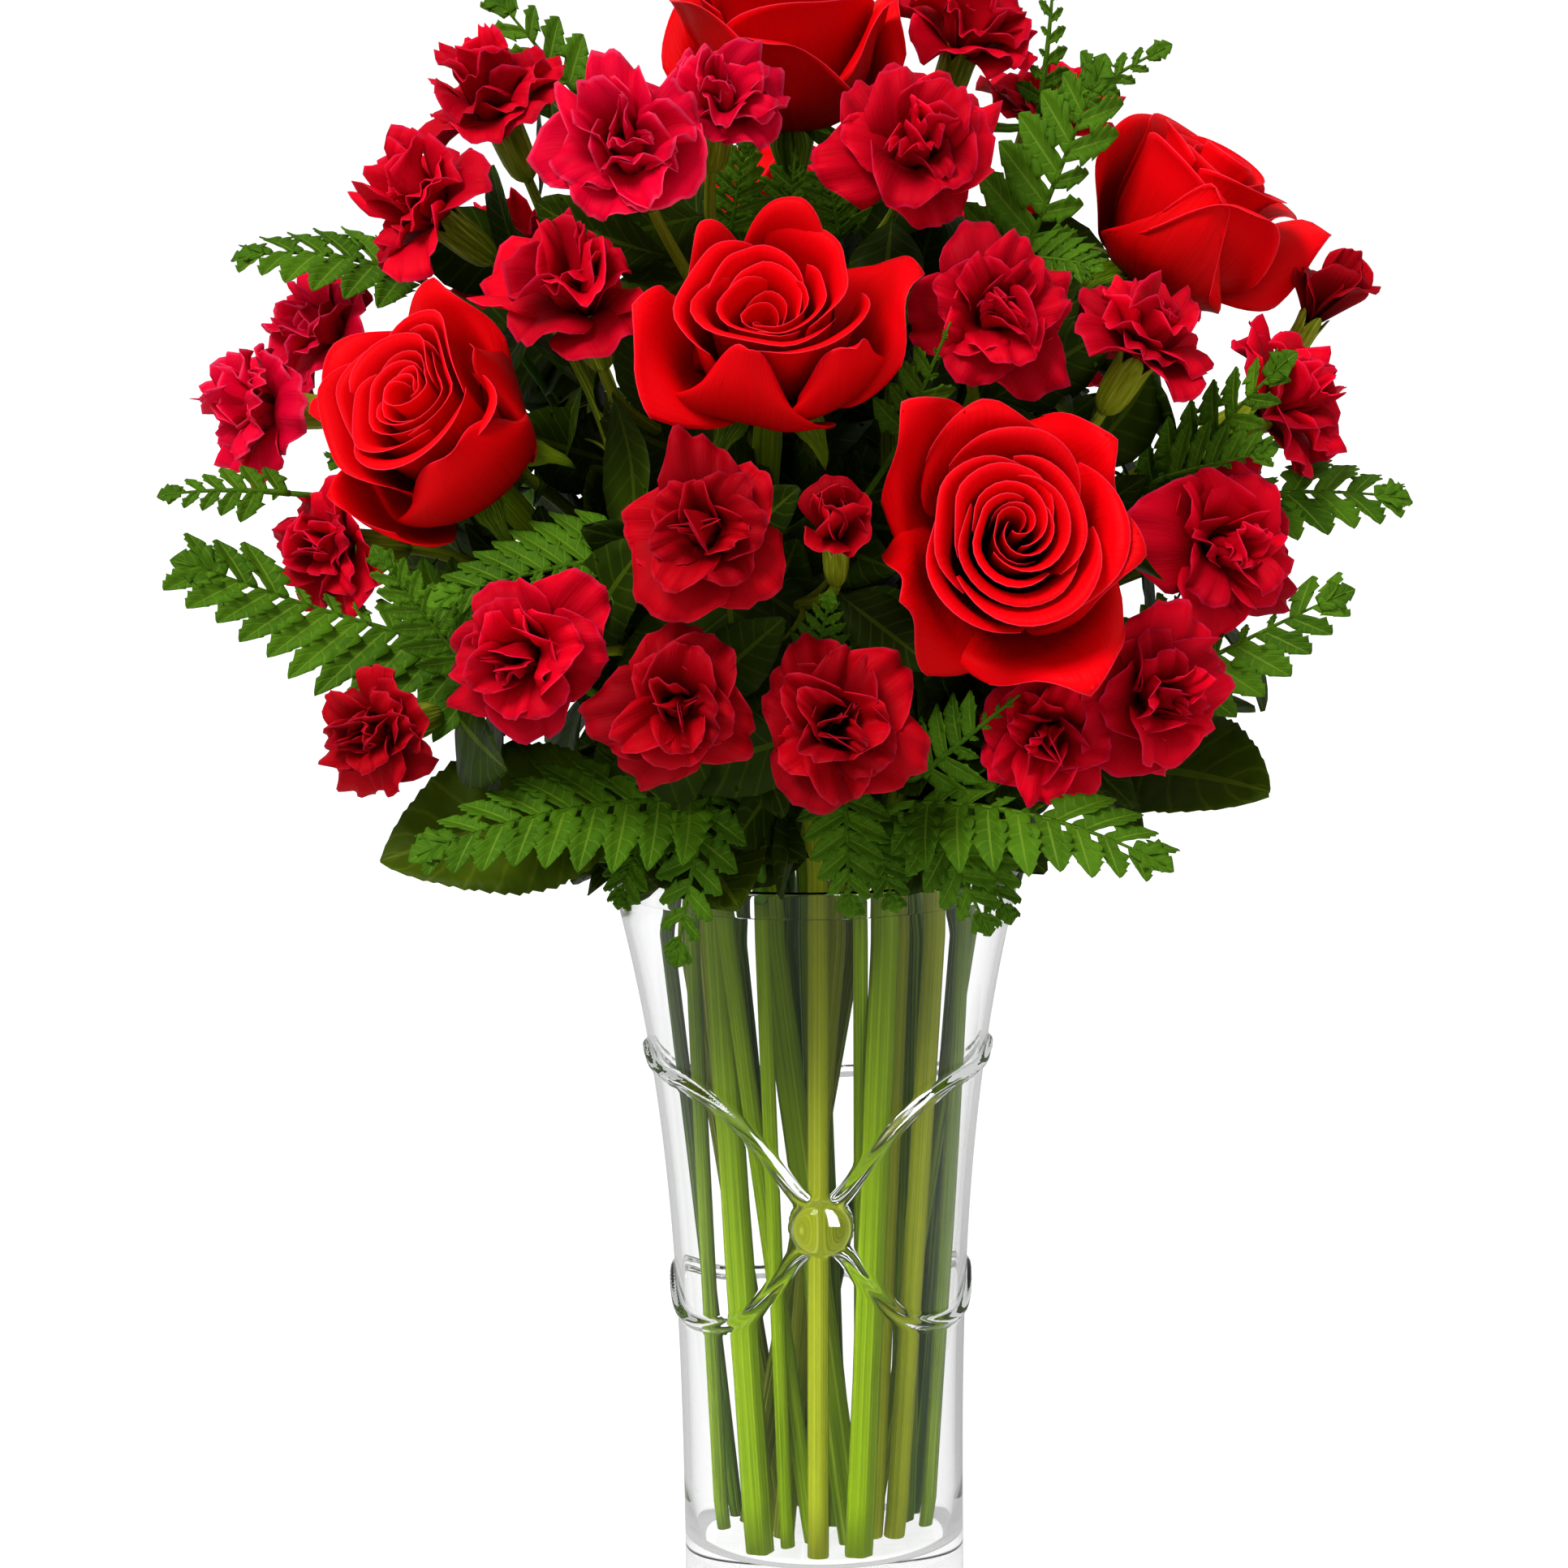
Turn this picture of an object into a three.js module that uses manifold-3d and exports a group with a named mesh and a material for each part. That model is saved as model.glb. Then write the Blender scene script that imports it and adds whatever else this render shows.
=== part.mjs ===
// Mini carnations and red roses in a glass vase of water, with fern fronds and broad leaves.
// Millimetres, +Z up. The origin is the middle of the vase's underside, and the front looks along -Y.
import * as THREE from "three";
import { mergeVertices } from "three/addons/utils/BufferGeometryUtils.js";
import Module from "manifold-3d";

const wasm = await Module();
wasm.setup();

// Driving dimensions

const CLEARANCE = 0.3; // kept between pieces that touch
const TURN = 2 * Math.PI;

const VASE = {
  height: 222,
  footRadius: 42,
  flare: 20, // how much wider the rim is than the foot
  flarePower: 3,
  wall: 3.4,
  floor: 15, // a thick glass foot
  lip: 1.2, // rounding of the rim and of the foot's edge
  fillet: 4, // rounding where the inner wall meets the floor
  sides: 24,
  steps: 5,
};
const WATER_TOP = 213;
const MOUTH = 216; // height where the stems leave the vase
const THREAD = { radius: 2.2, out: 0.3, sides: 4 };
const GEM = { height: 120.5, radius: 9, proud: 4.5, seat: 1.5 };

// Height of the two raised glass threads round the vase: degrees from the gem, millimetres up.
// Each thread is alike to the left and the right of the gem.
const UPPER_THREAD = [[0, 125], [15, 136], [30, 151], [45, 158], [90, 166], [124, 154], [180, 148]];
const LOWER_THREAD = [[0, 116], [15, 104], [30, 92.5], [54, 87], [75, 87], [92, 94], [120, 93], [180, 86]];

const ROSE_RADIUS = 40;
const CARNATION_RADIUS = 24;
const CALYX = { length: 19, radius: 5, foot: 4, knee: 2.5 };
const HIP = { length: 13, shoulder: 6, radius: 5 };
const SEPAL = { count: 5, root: 2.5, knee: 12, tip: 20, sink: 3, drop: 8, radii: [2, 1.5] };
const STEM = { rose: 3.5, spray: 2.5, shoot: 1.8, pedicel: 1.5, leafy: 1.8, fern: 1.5, stalk: 1.2 };
const SHORT_STEM_END = 199; // height where the short stems of leaves and ferns end in the water
const SHORT_STEM_PULL = 0.95; // their feet are drawn in to this share of the mouth place
const BEND = { leaving: 0.36, arriving: 0.34 }; // pull of a stem's two directions, over its reach
const HOLE = { room: 0.42, below: 6, under: 0.4 }; // a stem's hole in the water
const FOOT_LIFT = { rose: 0.8, spray: 0.6 }; // a slanting cut foot stands on its edge
const BLADE = { thick: 0.8, rib: 1.8, ribHalf: 0.9, tipHalf: 0.4, gap: 0.6, droop: 0.1 };
const LEAF = { thick: 0.8, rib: 1.6, ribHalf: 0.9, fold: 0.18, arch: 0.06, tooth: 0.92 };

// Each bloom: middle, the way it faces, and its size as a share of the usual radius.
const ROSES = {
  front: { at: [-11, -103, 386], face: [0.03, -0.7, 0.71], size: 1 },
  left: { at: [-104, -75, 359], face: [-0.42, -0.68, 0.6], size: 0.98 },
  low_right: { at: [53, -115, 328], face: [0.1, -0.95, 0.3], size: 1 },
  right: { at: [107, -15, 411], face: [0.55, -0.15, 0.82], size: 0.98 },
  top: { at: [-6, -15, 461], face: [-0.05, -0.2, 0.98], size: 1.03 },
  back: { at: [-15, 85, 395], face: [-0.1, 0.8, 0.6], size: 1 },
};
const CARNATIONS = {
  top_left: [{ at: [-92, 5, 448], face: [-0.35, -0.35, 0.87], size: 0.98 }],
  upper_left: [{ at: [-111, -35, 419], face: [-0.7, -0.35, 0.62], size: 0.98 }],
  top_pink: [{ at: [-49, -97, 430], face: [-0.2, -0.8, 0.55], size: 0.95 }],
  top_pale: [{ at: [-24, -73, 447], face: [0.1, -0.7, 0.7], size: 0.85 }],
  over_left_rose: [{ at: [-62, -88, 403], face: [-0.1, -0.3, 0.95], size: 1 }],
  under_top_rose: [{ at: [29, -70, 433], face: [0.1, -0.85, 0.5], size: 1.1 }],
  top_right: [{ at: [48, 5, 466], face: [0.3, -0.3, 0.9], size: 0.95 }],
  middle_right: [{ at: [50, -90, 389], face: [0.15, -0.9, 0.4], size: 1.05 }],
  over_low_rose: [{ at: [95, -78, 381], face: [0.45, -0.45, 0.77], size: 0.95 }],
  behind_right: [{ at: [72, 38, 442], face: [0.3, -0.3, 0.9], size: 0.9 }],
  far_right: [{ at: [138, -30, 358], face: [0.85, -0.3, 0.4], size: 1 }],
  low_far_right: [{ at: [117, -60, 320], face: [0.45, -0.85, 0.25], size: 1.08 }],
  left_high: [{ at: [-143, 0, 381], face: [-0.75, -0.4, 0.5], size: 0.9 }],
  left_far: [{ at: [-160, -35, 360], face: [-0.85, -0.5, 0.1], size: 0.95 }],
  left_low: [{ at: [-138, -52, 322], face: [-0.7, -0.6, 0.1], size: 0.9 }],
  front_middle: [{ at: [-29, -130, 334], face: [-0.1, -0.95, 0.25], size: 1 }],
  front_left: [{ at: [-79, -115, 298], face: [-0.35, -0.93, 0.1], size: 1 }],
  low_left: [{ at: [-38, -128, 286], face: [-0.1, -0.98, 0.1], size: 0.92 }],
  low_middle: [{ at: [4, -120, 278], face: [0, -0.98, 0.15], size: 1.05 }],
  bottom_left: [{ at: [-123, -90, 273], face: [-0.6, -0.78, -0.1], size: 0.8 }],
  bottom_right: [
    { at: [64, -94, 272], face: [0, -0.98, 0], size: 0.9 },
    { at: [95, -96, 281], face: [0.45, -0.88, 0.05], size: 1 },
  ],
  back_left: [
    { at: [-90, 62, 398], face: [-0.6, 0.5, 0.6], size: 1 },
    { at: [-103, 70, 371], face: [-0.7, 0.6, 0.3], size: 1 },
  ],
  back_right: [
    { at: [66, 86, 396], face: [0.5, 0.7, 0.6], size: 1 },
    { at: [88, 76, 374], face: [0.6, 0.65, 0.4], size: 1 },
  ],
  back_low: [
    { at: [34, 118, 320], face: [0.2, 0.95, 0.1], size: 1.05 },
    { at: [8, 122, 305], face: [0, 0.98, 0], size: 1 },
  ],
};
const BUDS = {
  front: { at: [6, -118, 331], face: [0, -0.75, 0.66], radius: 11 },
  right: { at: [148, -5, 382], face: [0.5, -0.2, 0.85], radius: 11 },
};

// Each stem: where it leaves the mouth and where its foot stands, seen from above.
const ROSE_STEMS = {
  front: { mouth: [-15, -17.5], foot: [8, -15] },
  left: { mouth: [-29, -30], foot: [-19, -23.5] },
  low_right: { mouth: [19.5, -35], foot: [9.5, -27.5] },
  right: { mouth: [29.5, 4], foot: [22.5, 7] },
  top: { mouth: [-2, 1], foot: [3.5, 5] },
  back: { mouth: [-10.5, 27.5], foot: [6, 23.5] },
};
// Each spray: its flowers, the first at the end of the main stem, the others on side shoots
// that leave it at a share of its length above the mouth.
const SPRAYS = {
  upper_left: {
    mouth: [-39, -3],
    foot: [-11.5, 20],
    flowers: [["upper_left", 0], ["top_left", 0, 0.62], ["left_high", 0, 0.45], ["left_far", 0, 0.34],
      ["back_left", 0, 0.5], ["back_left", 1, 0.4]],
  },
  top: {
    mouth: [7, -5],
    foot: [-12, -9.5],
    flowers: [["top_pale", 0], ["top_pink", 0, 0.6], ["over_left_rose", 0, 0.45],
      ["under_top_rose", 0, 0.55]],
  },
  upper_right: {
    mouth: [14.5, 16.5],
    foot: [-22, 6.5],
    flowers: [["top_right", 0], ["behind_right", 0, 0.55], ["back_right", 0, 0.42],
      ["back_right", 1, 0.34], ["back_low", 0, 0.2], ["back_low", 1, 0.12]],
  },
  right: {
    mouth: [24, -24.5],
    foot: [14, -10],
    flowers: [["over_low_rose", 0], ["middle_right", 0, 0.55], ["far_right", 0, 0.4],
      ["bud_right", 0, 0.5], ["low_far_right", 0, 0.3]],
  },
  front: {
    mouth: [0.5, -31],
    foot: [-2, -29],
    flowers: [["front_middle", 0], ["bud_front", 0, 0.6], ["low_left", 0, 0.3], ["low_middle", 0, 0.24],
      ["front_left", 0, 0.4]],
  },
  low_left: { mouth: [-32, -15.5], foot: [-17, -2.5], flowers: [["left_low", 0], ["bottom_left", 0, 0.35]] },
  low_right: { mouth: [34, -30.5], foot: [20.5, -10], flowers: [["bottom_right", 1], ["bottom_right", 0, 0.45]] },
};
// Each frond: its mouth place, then the foot and tip of its blade, the way the blade faces,
// its greatest half width, and how far its middle is arched. Some carry a second, small blade.
const FERNS = {
  left_low: {
    mouth: [-36, -30], base: [-84, -62, 290], tip: [-178, -76, 322],
    face: [-0.2, -0.8, 0.55], wide: 44, arch: -6,
  },
  bottom_left: {
    mouth: [-16, -44], base: [-30, -78, 252], tip: [-110, -112, 243],
    face: [-0.1, -0.72, 0.68], wide: 36, arch: 8,
    more: [{ tip: [-40, -90, 207], face: [-0.05, -0.97, 0.25], wide: 15, arch: 8 }],
  },
  bottom_right: {
    mouth: [12, -45], base: [28, -78, 250], tip: [95, -116, 238],
    face: [0.1, -0.72, 0.68], wide: 36, arch: 8,
    more: [{ tip: [48, -84, 214], face: [0.1, -0.95, 0.3], wide: 17, arch: 5 }],
  },
  right_low: {
    mouth: [42, -22], base: [92, -52, 276], tip: [150, -62, 306],
    face: [0.3, -0.8, 0.5], wide: 28, arch: 3,
  },
  right: {
    mouth: [46, -9], base: [96, -30, 326], tip: [173, -20, 328],
    face: [0.1, -0.7, 0.7], wide: 30, arch: 6,
    more: [{ tip: [133, -66, 372], face: [0, -0.85, 0.5], wide: 19, arch: 4 }],
  },
  upper_right: {
    mouth: [22, -6], base: [58, -34, 392], tip: [84, -36, 455],
    face: [0.1, -0.97, 0.2], wide: 26, arch: 3,
  },
  top_left: {
    mouth: [-24, 8], base: [-50, 24, 425], tip: [-92, 28, 477],
    face: [-0.1, -0.95, 0.2], wide: 20, arch: 3,
  },
  left: {
    mouth: [-45, 6], base: [-112, -4, 394], tip: [-164, -16, 402],
    face: [0, -0.55, 0.83], wide: 22, arch: 5,
  },
  back_left: {
    mouth: [-30, 34], base: [-60, 60, 308], tip: [-126, 96, 326],
    face: [-0.3, 0.7, 0.65], wide: 34, arch: 6,
  },
  back_right: {
    mouth: [32, 32], base: [72, 78, 300], tip: [128, 92, 322],
    face: [0.3, 0.7, 0.65], wide: 34, arch: 8,
  },
};
// Each leafy stem: its mouth place, its top, and its leaves as foot, tip, facing and half width.
const LEAFY_STEMS = {
  left: {
    mouth: [-27, -38],
    top: [-50, -58, 250],
    leaves: [
      { share: 0.9, tip: [-122, -72, 236], face: [-0.2, -0.6, 0.75], wide: 26 },
      { share: 1, tip: [-110, -50, 244], face: [-0.4, -0.5, 0.75], wide: 20 },
      { share: 0.6, tip: [-22, -90, 223], face: [0.05, -0.85, 0.5], wide: 19 },
    ],
  },
  right: {
    mouth: [43, 20],
    top: [66, 14, 250],
    leaves: [
      { share: 0.9, tip: [130, -44, 250], face: [0.3, -0.5, 0.8], wide: 27 },
      { share: 1, tip: [132, 18, 262], face: [0.5, 0, 0.85], wide: 24 },
      { share: 0.75, tip: [96, 66, 240], face: [0.3, 0.5, 0.8], wide: 25 },
    ],
  },
  back: {
    mouth: [-2, 46],
    top: [-30, 76, 304],
    leaves: [
      { share: 0.35, tip: [-66, 98, 232], face: [-0.1, 0.6, 0.8], wide: 25 },
      { share: 0.3, tip: [64, 104, 236], face: [0.1, 0.6, 0.8], wide: 25 },
      { share: 0.7, tip: [-104, 70, 268], face: [-0.4, 0.4, 0.8], wide: 22 },
      { share: 0.85, tip: [-40, 128, 274], face: [-0.1, 0.7, 0.7], wide: 23 },
      { share: 1, tip: [-44, 112, 366], face: [-0.1, 0.98, 0.1], wide: 20 },
    ],
  },
};

// Vectors, random draws and solids

function vec([x, y, z]) {
  return new THREE.Vector3(x, y, z);
}

// Repeatable random numbers from 0 to 1, a fresh run for each seed.
function draws(seed) {
  let state = seed * 7919 + 17;
  return () => {
    state = (state * 16807) % 2147483647;
    return state / 2147483647;
  };
}

function solidOf(points, faces) {
  const geometry = new THREE.BufferGeometry().setFromPoints(points);
  geometry.setIndex(faces.flat());
  const merged = mergeVertices(geometry, 1e-4);
  return new wasm.Manifold(
    new wasm.Mesh({
      numProp: 3,
      vertProperties: merged.attributes.position.array,
      triVerts: new Uint32Array(merged.index.array),
    }),
  );
}

function solidOfGeometry(geometry) {
  const bare = new THREE.BufferGeometry();
  bare.setAttribute("position", geometry.getAttribute("position"));
  if (geometry.index) bare.setIndex(geometry.index);
  const merged = mergeVertices(bare, 1e-4);
  return new wasm.Manifold(
    new wasm.Mesh({
      numProp: 3,
      vertProperties: merged.attributes.position.array,
      triVerts: new Uint32Array(merged.index.array),
    }),
  );
}

function joined(solids) {
  return solids.reduce((sum, solid) => sum.add(solid));
}

function meshOf(name, solid, material) {
  const data = solid.getMesh();
  const geometry = new THREE.BufferGeometry();
  geometry.setAttribute("position", new THREE.BufferAttribute(data.vertProperties.slice(), 3));
  geometry.setIndex(new THREE.BufferAttribute(data.triVerts.slice(), 1));
  geometry.computeVertexNormals();
  const mesh = new THREE.Mesh(geometry, material);
  mesh.name = name;
  return mesh;
}

// A closed skin through rings of points, each counterclockwise seen from the far end.
// A ring of one point closes an end. A band whose number is in mirrored is split the other way.
function skin(rings, mirrored = []) {
  const points = [];
  const starts = [];
  for (const ring of rings) {
    starts.push(points.length);
    points.push(...ring);
  }
  const faces = [];
  for (let k = 0; k + 1 < rings.length; k++) {
    const [a, b] = [starts[k], starts[k + 1]];
    const [lower, upper] = [rings[k].length, rings[k + 1].length];
    const count = Math.max(lower, upper);
    for (let j = 0; j < count; j++) {
      const i = (j + 1) % count;
      if (lower === 1) faces.push([a, b + i, b + j]);
      else if (upper === 1) faces.push([a + j, a + i, b]);
      else if (mirrored.includes(k)) faces.push([a + j, a + i, b + j], [a + i, b + i, b + j]);
      else faces.push([a + j, a + i, b + i], [a + j, b + i, b + j]);
    }
  }
  return solidOf(points, faces);
}

// Two directions square to an axis, for drawing a ring round it.
function across(axis) {
  const guide = Math.abs(axis.z) < 0.9 ? new THREE.Vector3(0, 0, 1) : new THREE.Vector3(0, 1, 0);
  const side = guide.clone().cross(axis).normalize();
  return [side, axis.clone().cross(side)];
}

// A solid tube through points, with a radius at each, and flat ends.
function tube(points, radii, sides) {
  const last = points.length - 1;
  const directions = points.map((_, i) =>
    points[Math.min(i + 1, last)].clone().sub(points[Math.max(i - 1, 0)]).normalize(),
  );
  let [side] = across(directions[0]);
  const rings = points.map((point, i) => {
    side = side.clone().addScaledVector(directions[i], -side.dot(directions[i])).normalize();
    const other = directions[i].clone().cross(side);
    return Array.from({ length: sides }, (_, j) => {
      const angle = (TURN * j) / sides;
      return point
        .clone()
        .addScaledVector(side, radii[i] * Math.cos(angle))
        .addScaledVector(other, radii[i] * Math.sin(angle));
    });
  });
  return skin([[points[0]], ...rings, [points[last]]]);
}

// A three-sided spike through points, with a radius at each but the last, which is its tip.
function spike(points, radii) {
  const [side, other] = across(points[1].clone().sub(points[0]).normalize());
  const rings = radii.map((radius, i) =>
    [0, 1, 2].map((j) =>
      points[i]
        .clone()
        .addScaledVector(side, radius * Math.cos((TURN * j) / 3))
        .addScaledVector(other, radius * Math.sin((TURN * j) / 3)),
    ),
  );
  return skin([[points[0]], ...rings, [points[points.length - 1]]]);
}

// A thin solid sheet: points in its middle surface, each with its own facing and thickness,
// and triangles that are the same on both faces. An edge that only one triangle has gets a wall.
function sheet(points, facings, thicknesses, triangles) {
  const count = points.length;
  const top = points.map((p, i) => p.clone().addScaledVector(facings[i], thicknesses[i] / 2));
  const bottom = points.map((p, i) => p.clone().addScaledVector(facings[i], -thicknesses[i] / 2));
  const faces = [];
  const edges = new Set();
  for (const [a, b, c] of triangles) {
    faces.push([a, b, c], [count + a, count + c, count + b]);
    for (const [from, to] of [[a, b], [b, c], [c, a]]) edges.add(from + "," + to);
  }
  for (const edge of edges) {
    const [from, to] = edge.split(",").map(Number);
    if (edges.has(to + "," + from)) continue;
    faces.push([from, count + from, count + to], [from, count + to, to]);
  }
  return solidOf([...top, ...bottom], faces);
}

// Stems

// The line of a stem: straight from its foot to the vase's mouth, then a smooth bend that
// arrives at its end along a given direction.
function stemLine(foot, mouth, end, arrival, steps = 6) {
  const rise = mouth.clone().sub(foot).normalize();
  return [foot, ...bend(mouth, rise, end, arrival, steps)];
}

function bend(start, leaving, end, arrival, steps) {
  const reach = start.distanceTo(end);
  const curve = new THREE.CubicBezierCurve3(
    start,
    start.clone().addScaledVector(leaving, BEND.leaving * reach),
    end.clone().addScaledVector(arrival, -BEND.arriving * reach),
    end,
  );
  return curve.getPoints(steps);
}

function footOf([x, y], lift) {
  return new THREE.Vector3(x, y, VASE.floor + CLEARANCE + lift);
}

// A short stem ends in the water part way down, drawn in a little towards the middle.
function shortFootOf([x, y]) {
  return new THREE.Vector3(SHORT_STEM_PULL * x, SHORT_STEM_PULL * y, SHORT_STEM_END);
}

const holes = []; // what the stems take out of the water: a long stem's hole goes right through it

function holeFor(foot, mouth, radius, sides, through) {
  const along = mouth.clone().sub(foot).normalize();
  const start = foot.clone().addScaledVector(along, through ? -HOLE.below : -HOLE.under);
  holes.push(tube([start, mouth], [radius + HOLE.room, radius + HOLE.room], sides));
}

// Blooms

// Rings of a bloom from its seat up, as shares of its radius: how far out, how far up, how deep
// the gaps between petals are cut, and how much the edge waves. An edge ring and the inner ring
// above it make one layer of petals, thick at the root and thin at the edge.
const CARNATION_RINGS = [
  { out: 1, up: 0.26, cut: 0.24, wave: 0.07 },
  { out: 0.44, up: 0.32 },
  { out: 0.86, up: 0.64, cut: 0.26, wave: 0.08 },
  { out: 0.34, up: 0.58 },
  { out: 0.54, up: 0.98, cut: 0.3, wave: 0.07 },
];
const ROSE_RINGS = [
  { out: 0.66, up: 0.2 },
  { out: 1, up: 0.88, cut: 0.2, wave: 0.04 },
  { out: 0.72, up: 0.78 },
  { out: 0.84, up: 1.1, cut: 0.14, wave: 0.03 },
  { out: 0.55, up: 0.84 },
  { out: 0.58, up: 1.2, cut: 0.14, wave: 0.03 },
  { out: 0.3, up: 0.94 },
  { out: 0.28, up: 1.2, cut: 0.16, wave: 0.03 },
];

const MIDDLE_UP = { carnation: 0.45, rose: 0.6 }; // from the seat to a bloom's middle, over its radius

function placed(spec, radius, kind) {
  const axis = vec(spec.face).normalize();
  const middle = vec(spec.at);
  const seat = middle.clone().addScaledVector(axis, -MIDDLE_UP[kind] * radius);
  return { middle, axis, radius, seat };
}

const blooms = []; // every bloom's middle and radius, for petals that press on each other

// How far a ring point may reach before it passes half way to a neighbouring bloom.
function roomFor(bloom, core, reach) {
  let share = 1;
  for (const other of blooms) {
    if (other === bloom || (bloom.group && other.group === bloom.group)) continue;
    const way = other.middle.clone().sub(bloom.middle);
    const half = (way.length() * bloom.radius) / (bloom.radius + other.radius) - CLEARANCE;
    way.normalize();
    const outward = reach.dot(way);
    const room = half - core.clone().sub(bloom.middle).dot(way);
    if (outward > room && outward > 0) share = Math.min(share, Math.max(room / outward, 0.3));
  }
  return share;
}

// A bloom as one solid: layers of petals cut apart at their edges and waved, each layer turned
// from the one below. Each column of points is drawn in where a neighbour presses.
function bloomSolid(bloom, rings, petals, perPetal, middleUp, seed) {
  const random = draws(seed);
  const sides = petals * perPetal;
  const [side, other] = across(bloom.axis);
  const spin = TURN * random();
  const jitter = rings.map(() => Array.from({ length: sides }, () => random() - 0.5));
  const corePoint = (up) => bloom.seat.clone().addScaledVector(bloom.axis, up * bloom.radius);
  const reachOf = (ring, k, j) => {
    const angle = spin + (TURN * j) / sides;
    const inPetal = (j + k) % perPetal;
    const cut = ring.cut && inPetal === 0 ? ring.cut : 0;
    const wave = ring.wave ? ring.wave * (inPetal % 2 ? 1 : -1) + 0.05 * jitter[k][j] : 0;
    const out = bloom.radius * ring.out * (1 - cut + (ring.cut ? 0.1 * jitter[k][j] : 0));
    return {
      up: ring.up + wave,
      reach: side.clone().multiplyScalar(out * Math.cos(angle)).addScaledVector(other, out * Math.sin(angle)),
    };
  };
  const shares = Array.from({ length: sides }, (_, j) =>
    Math.min(
      ...rings.map((ring, k) => {
        const { up, reach } = reachOf(ring, k, j);
        return roomFor(bloom, corePoint(up), reach);
      }),
    ),
  );
  const points = rings.map((ring, k) =>
    Array.from({ length: sides }, (_, j) => {
      const { up, reach } = reachOf(ring, k, j);
      return corePoint(up).addScaledVector(reach, shares[j]);
    }),
  );
  const mirrored = rings.map((ring, k) => (ring.cut ? k + 1 : -1));
  return skin([[bloom.seat], ...points, [corePoint(middleUp)]], mirrored);
}

// Materials

function finish(colour, roughness, extra = {}) {
  return new THREE.MeshStandardMaterial({ color: colour, roughness, metalness: 0, ...extra });
}

const GLASS = finish(0xf4f8f8, 0.03, { transparent: true, opacity: 0.35 });
const WATER = finish(0xe8f4ee, 0.02, { transparent: true, opacity: 0.25 });
const ROSE_PETAL = finish(0xd80008, 0.55);
const CARNATION_PETAL = finish(0xb8002c, 0.7);
const STEM_GREEN = finish(0x6f9a1a, 0.5);
const CALYX_GREEN = finish(0x76882c, 0.55);
const FERN_GREEN = finish(0x336f1c, 0.5);
const LEAF_GREEN = finish(0x234510, 0.4);

// The vase, with its raised threads and the glass gem where they meet

function vaseRadius(height) {
  return VASE.footRadius + VASE.flare * (height / VASE.height) ** VASE.flarePower;
}

function latheOf(profile) {
  const geometry = new THREE.LatheGeometry(profile.map(([r, z]) => new THREE.Vector2(r, z)), VASE.sides);
  geometry.rotateX(Math.PI / 2);
  geometry.rotateZ(-Math.PI / 2);
  return solidOfGeometry(geometry);
}

function spread(from, to, steps) {
  return Array.from({ length: steps + 1 }, (_, i) => from + ((to - from) * i) / steps);
}

function innerRadius(height) {
  return vaseRadius(height) - VASE.wall;
}

// The heights of the inner wall's corners: those that the water touches, then those above it.
const WET_HEIGHTS = spread(VASE.floor + VASE.fillet, WATER_TOP, 3);
const DRY_HEIGHTS = [VASE.height - VASE.lip];

function makeVase() {
  const outside = spread(VASE.lip, VASE.height - VASE.lip, VASE.steps).map((z) => [vaseRadius(z), z]);
  const inside = [...WET_HEIGHTS, ...DRY_HEIGHTS].reverse().map((z) => [innerRadius(z), z]);
  const body = latheOf([
    [0, 0],
    [VASE.footRadius - VASE.lip, 0],
    ...outside,
    [vaseRadius(VASE.height) - VASE.wall / 2, VASE.height],
    ...inside,
    [innerRadius(VASE.floor) - VASE.fillet, VASE.floor],
    [0, VASE.floor],
  ]);
  const gemAt = new THREE.Vector3(0, -vaseRadius(GEM.height) - GEM.seat, GEM.height);
  const gem = new THREE.SphereGeometry(GEM.radius, 8, 5).scale(1, GEM.proud / GEM.radius, 1);
  gem.translate(gemAt.x, gemAt.y, gemAt.z);
  return joined([body, threadOf(UPPER_THREAD), threadOf(LOWER_THREAD), solidOfGeometry(gem)]);
}

// A thread is a closed ring that follows its heights round the vase, half sunk in the glass.
function threadOf(heights) {
  const knots = heights.map(([degrees, height]) => new THREE.Vector2(degrees, height));
  const line = new THREE.SplineCurve(knots);
  const samples = line.getPoints(60);
  const heightAt = (degrees) => {
    const i = Math.max(1, samples.findIndex((p) => p.x >= degrees - 1e-6));
    const [a, b] = [samples[i - 1], samples[i]];
    return a.y + ((b.y - a.y) * (degrees - a.x)) / (b.x - a.x);
  };
  const steps = VASE.sides;
  const middles = Array.from({ length: steps }, (_, i) => {
    const turn = (360 * i) / steps;
    const height = heightAt(Math.min(turn, 360 - turn));
    const angle = THREE.MathUtils.degToRad(turn) - Math.PI / 2;
    const radius = vaseRadius(height) + THREAD.out;
    return new THREE.Vector3(radius * Math.cos(angle), radius * Math.sin(angle), height);
  });
  const { sides } = THREAD;
  const points = [];
  const faces = [];
  middles.forEach((middle, i) => {
    const ahead = middles[(i + 1) % steps].clone().sub(middles[(i + steps - 1) % steps]).normalize();
    const outward = new THREE.Vector3(middle.x, middle.y, 0).normalize();
    const upward = outward.clone().cross(ahead).normalize();
    for (let j = 0; j < sides; j++) {
      const angle = (TURN * j) / sides;
      points.push(
        middle
          .clone()
          .addScaledVector(outward, THREAD.radius * Math.cos(angle))
          .addScaledVector(upward, -THREAD.radius * Math.sin(angle)),
      );
      const [a, b] = [i * sides, ((i + 1) % steps) * sides];
      const k = (j + 1) % sides;
      faces.push([a + j, b + j, b + k], [a + j, b + k, a + k]);
    }
  });
  const ring = solidOf(points, faces);
  return ring.volume() > 0 ? ring : solidOf(points, faces.map(([a, b, c]) => [a, c, b]));
}

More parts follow.
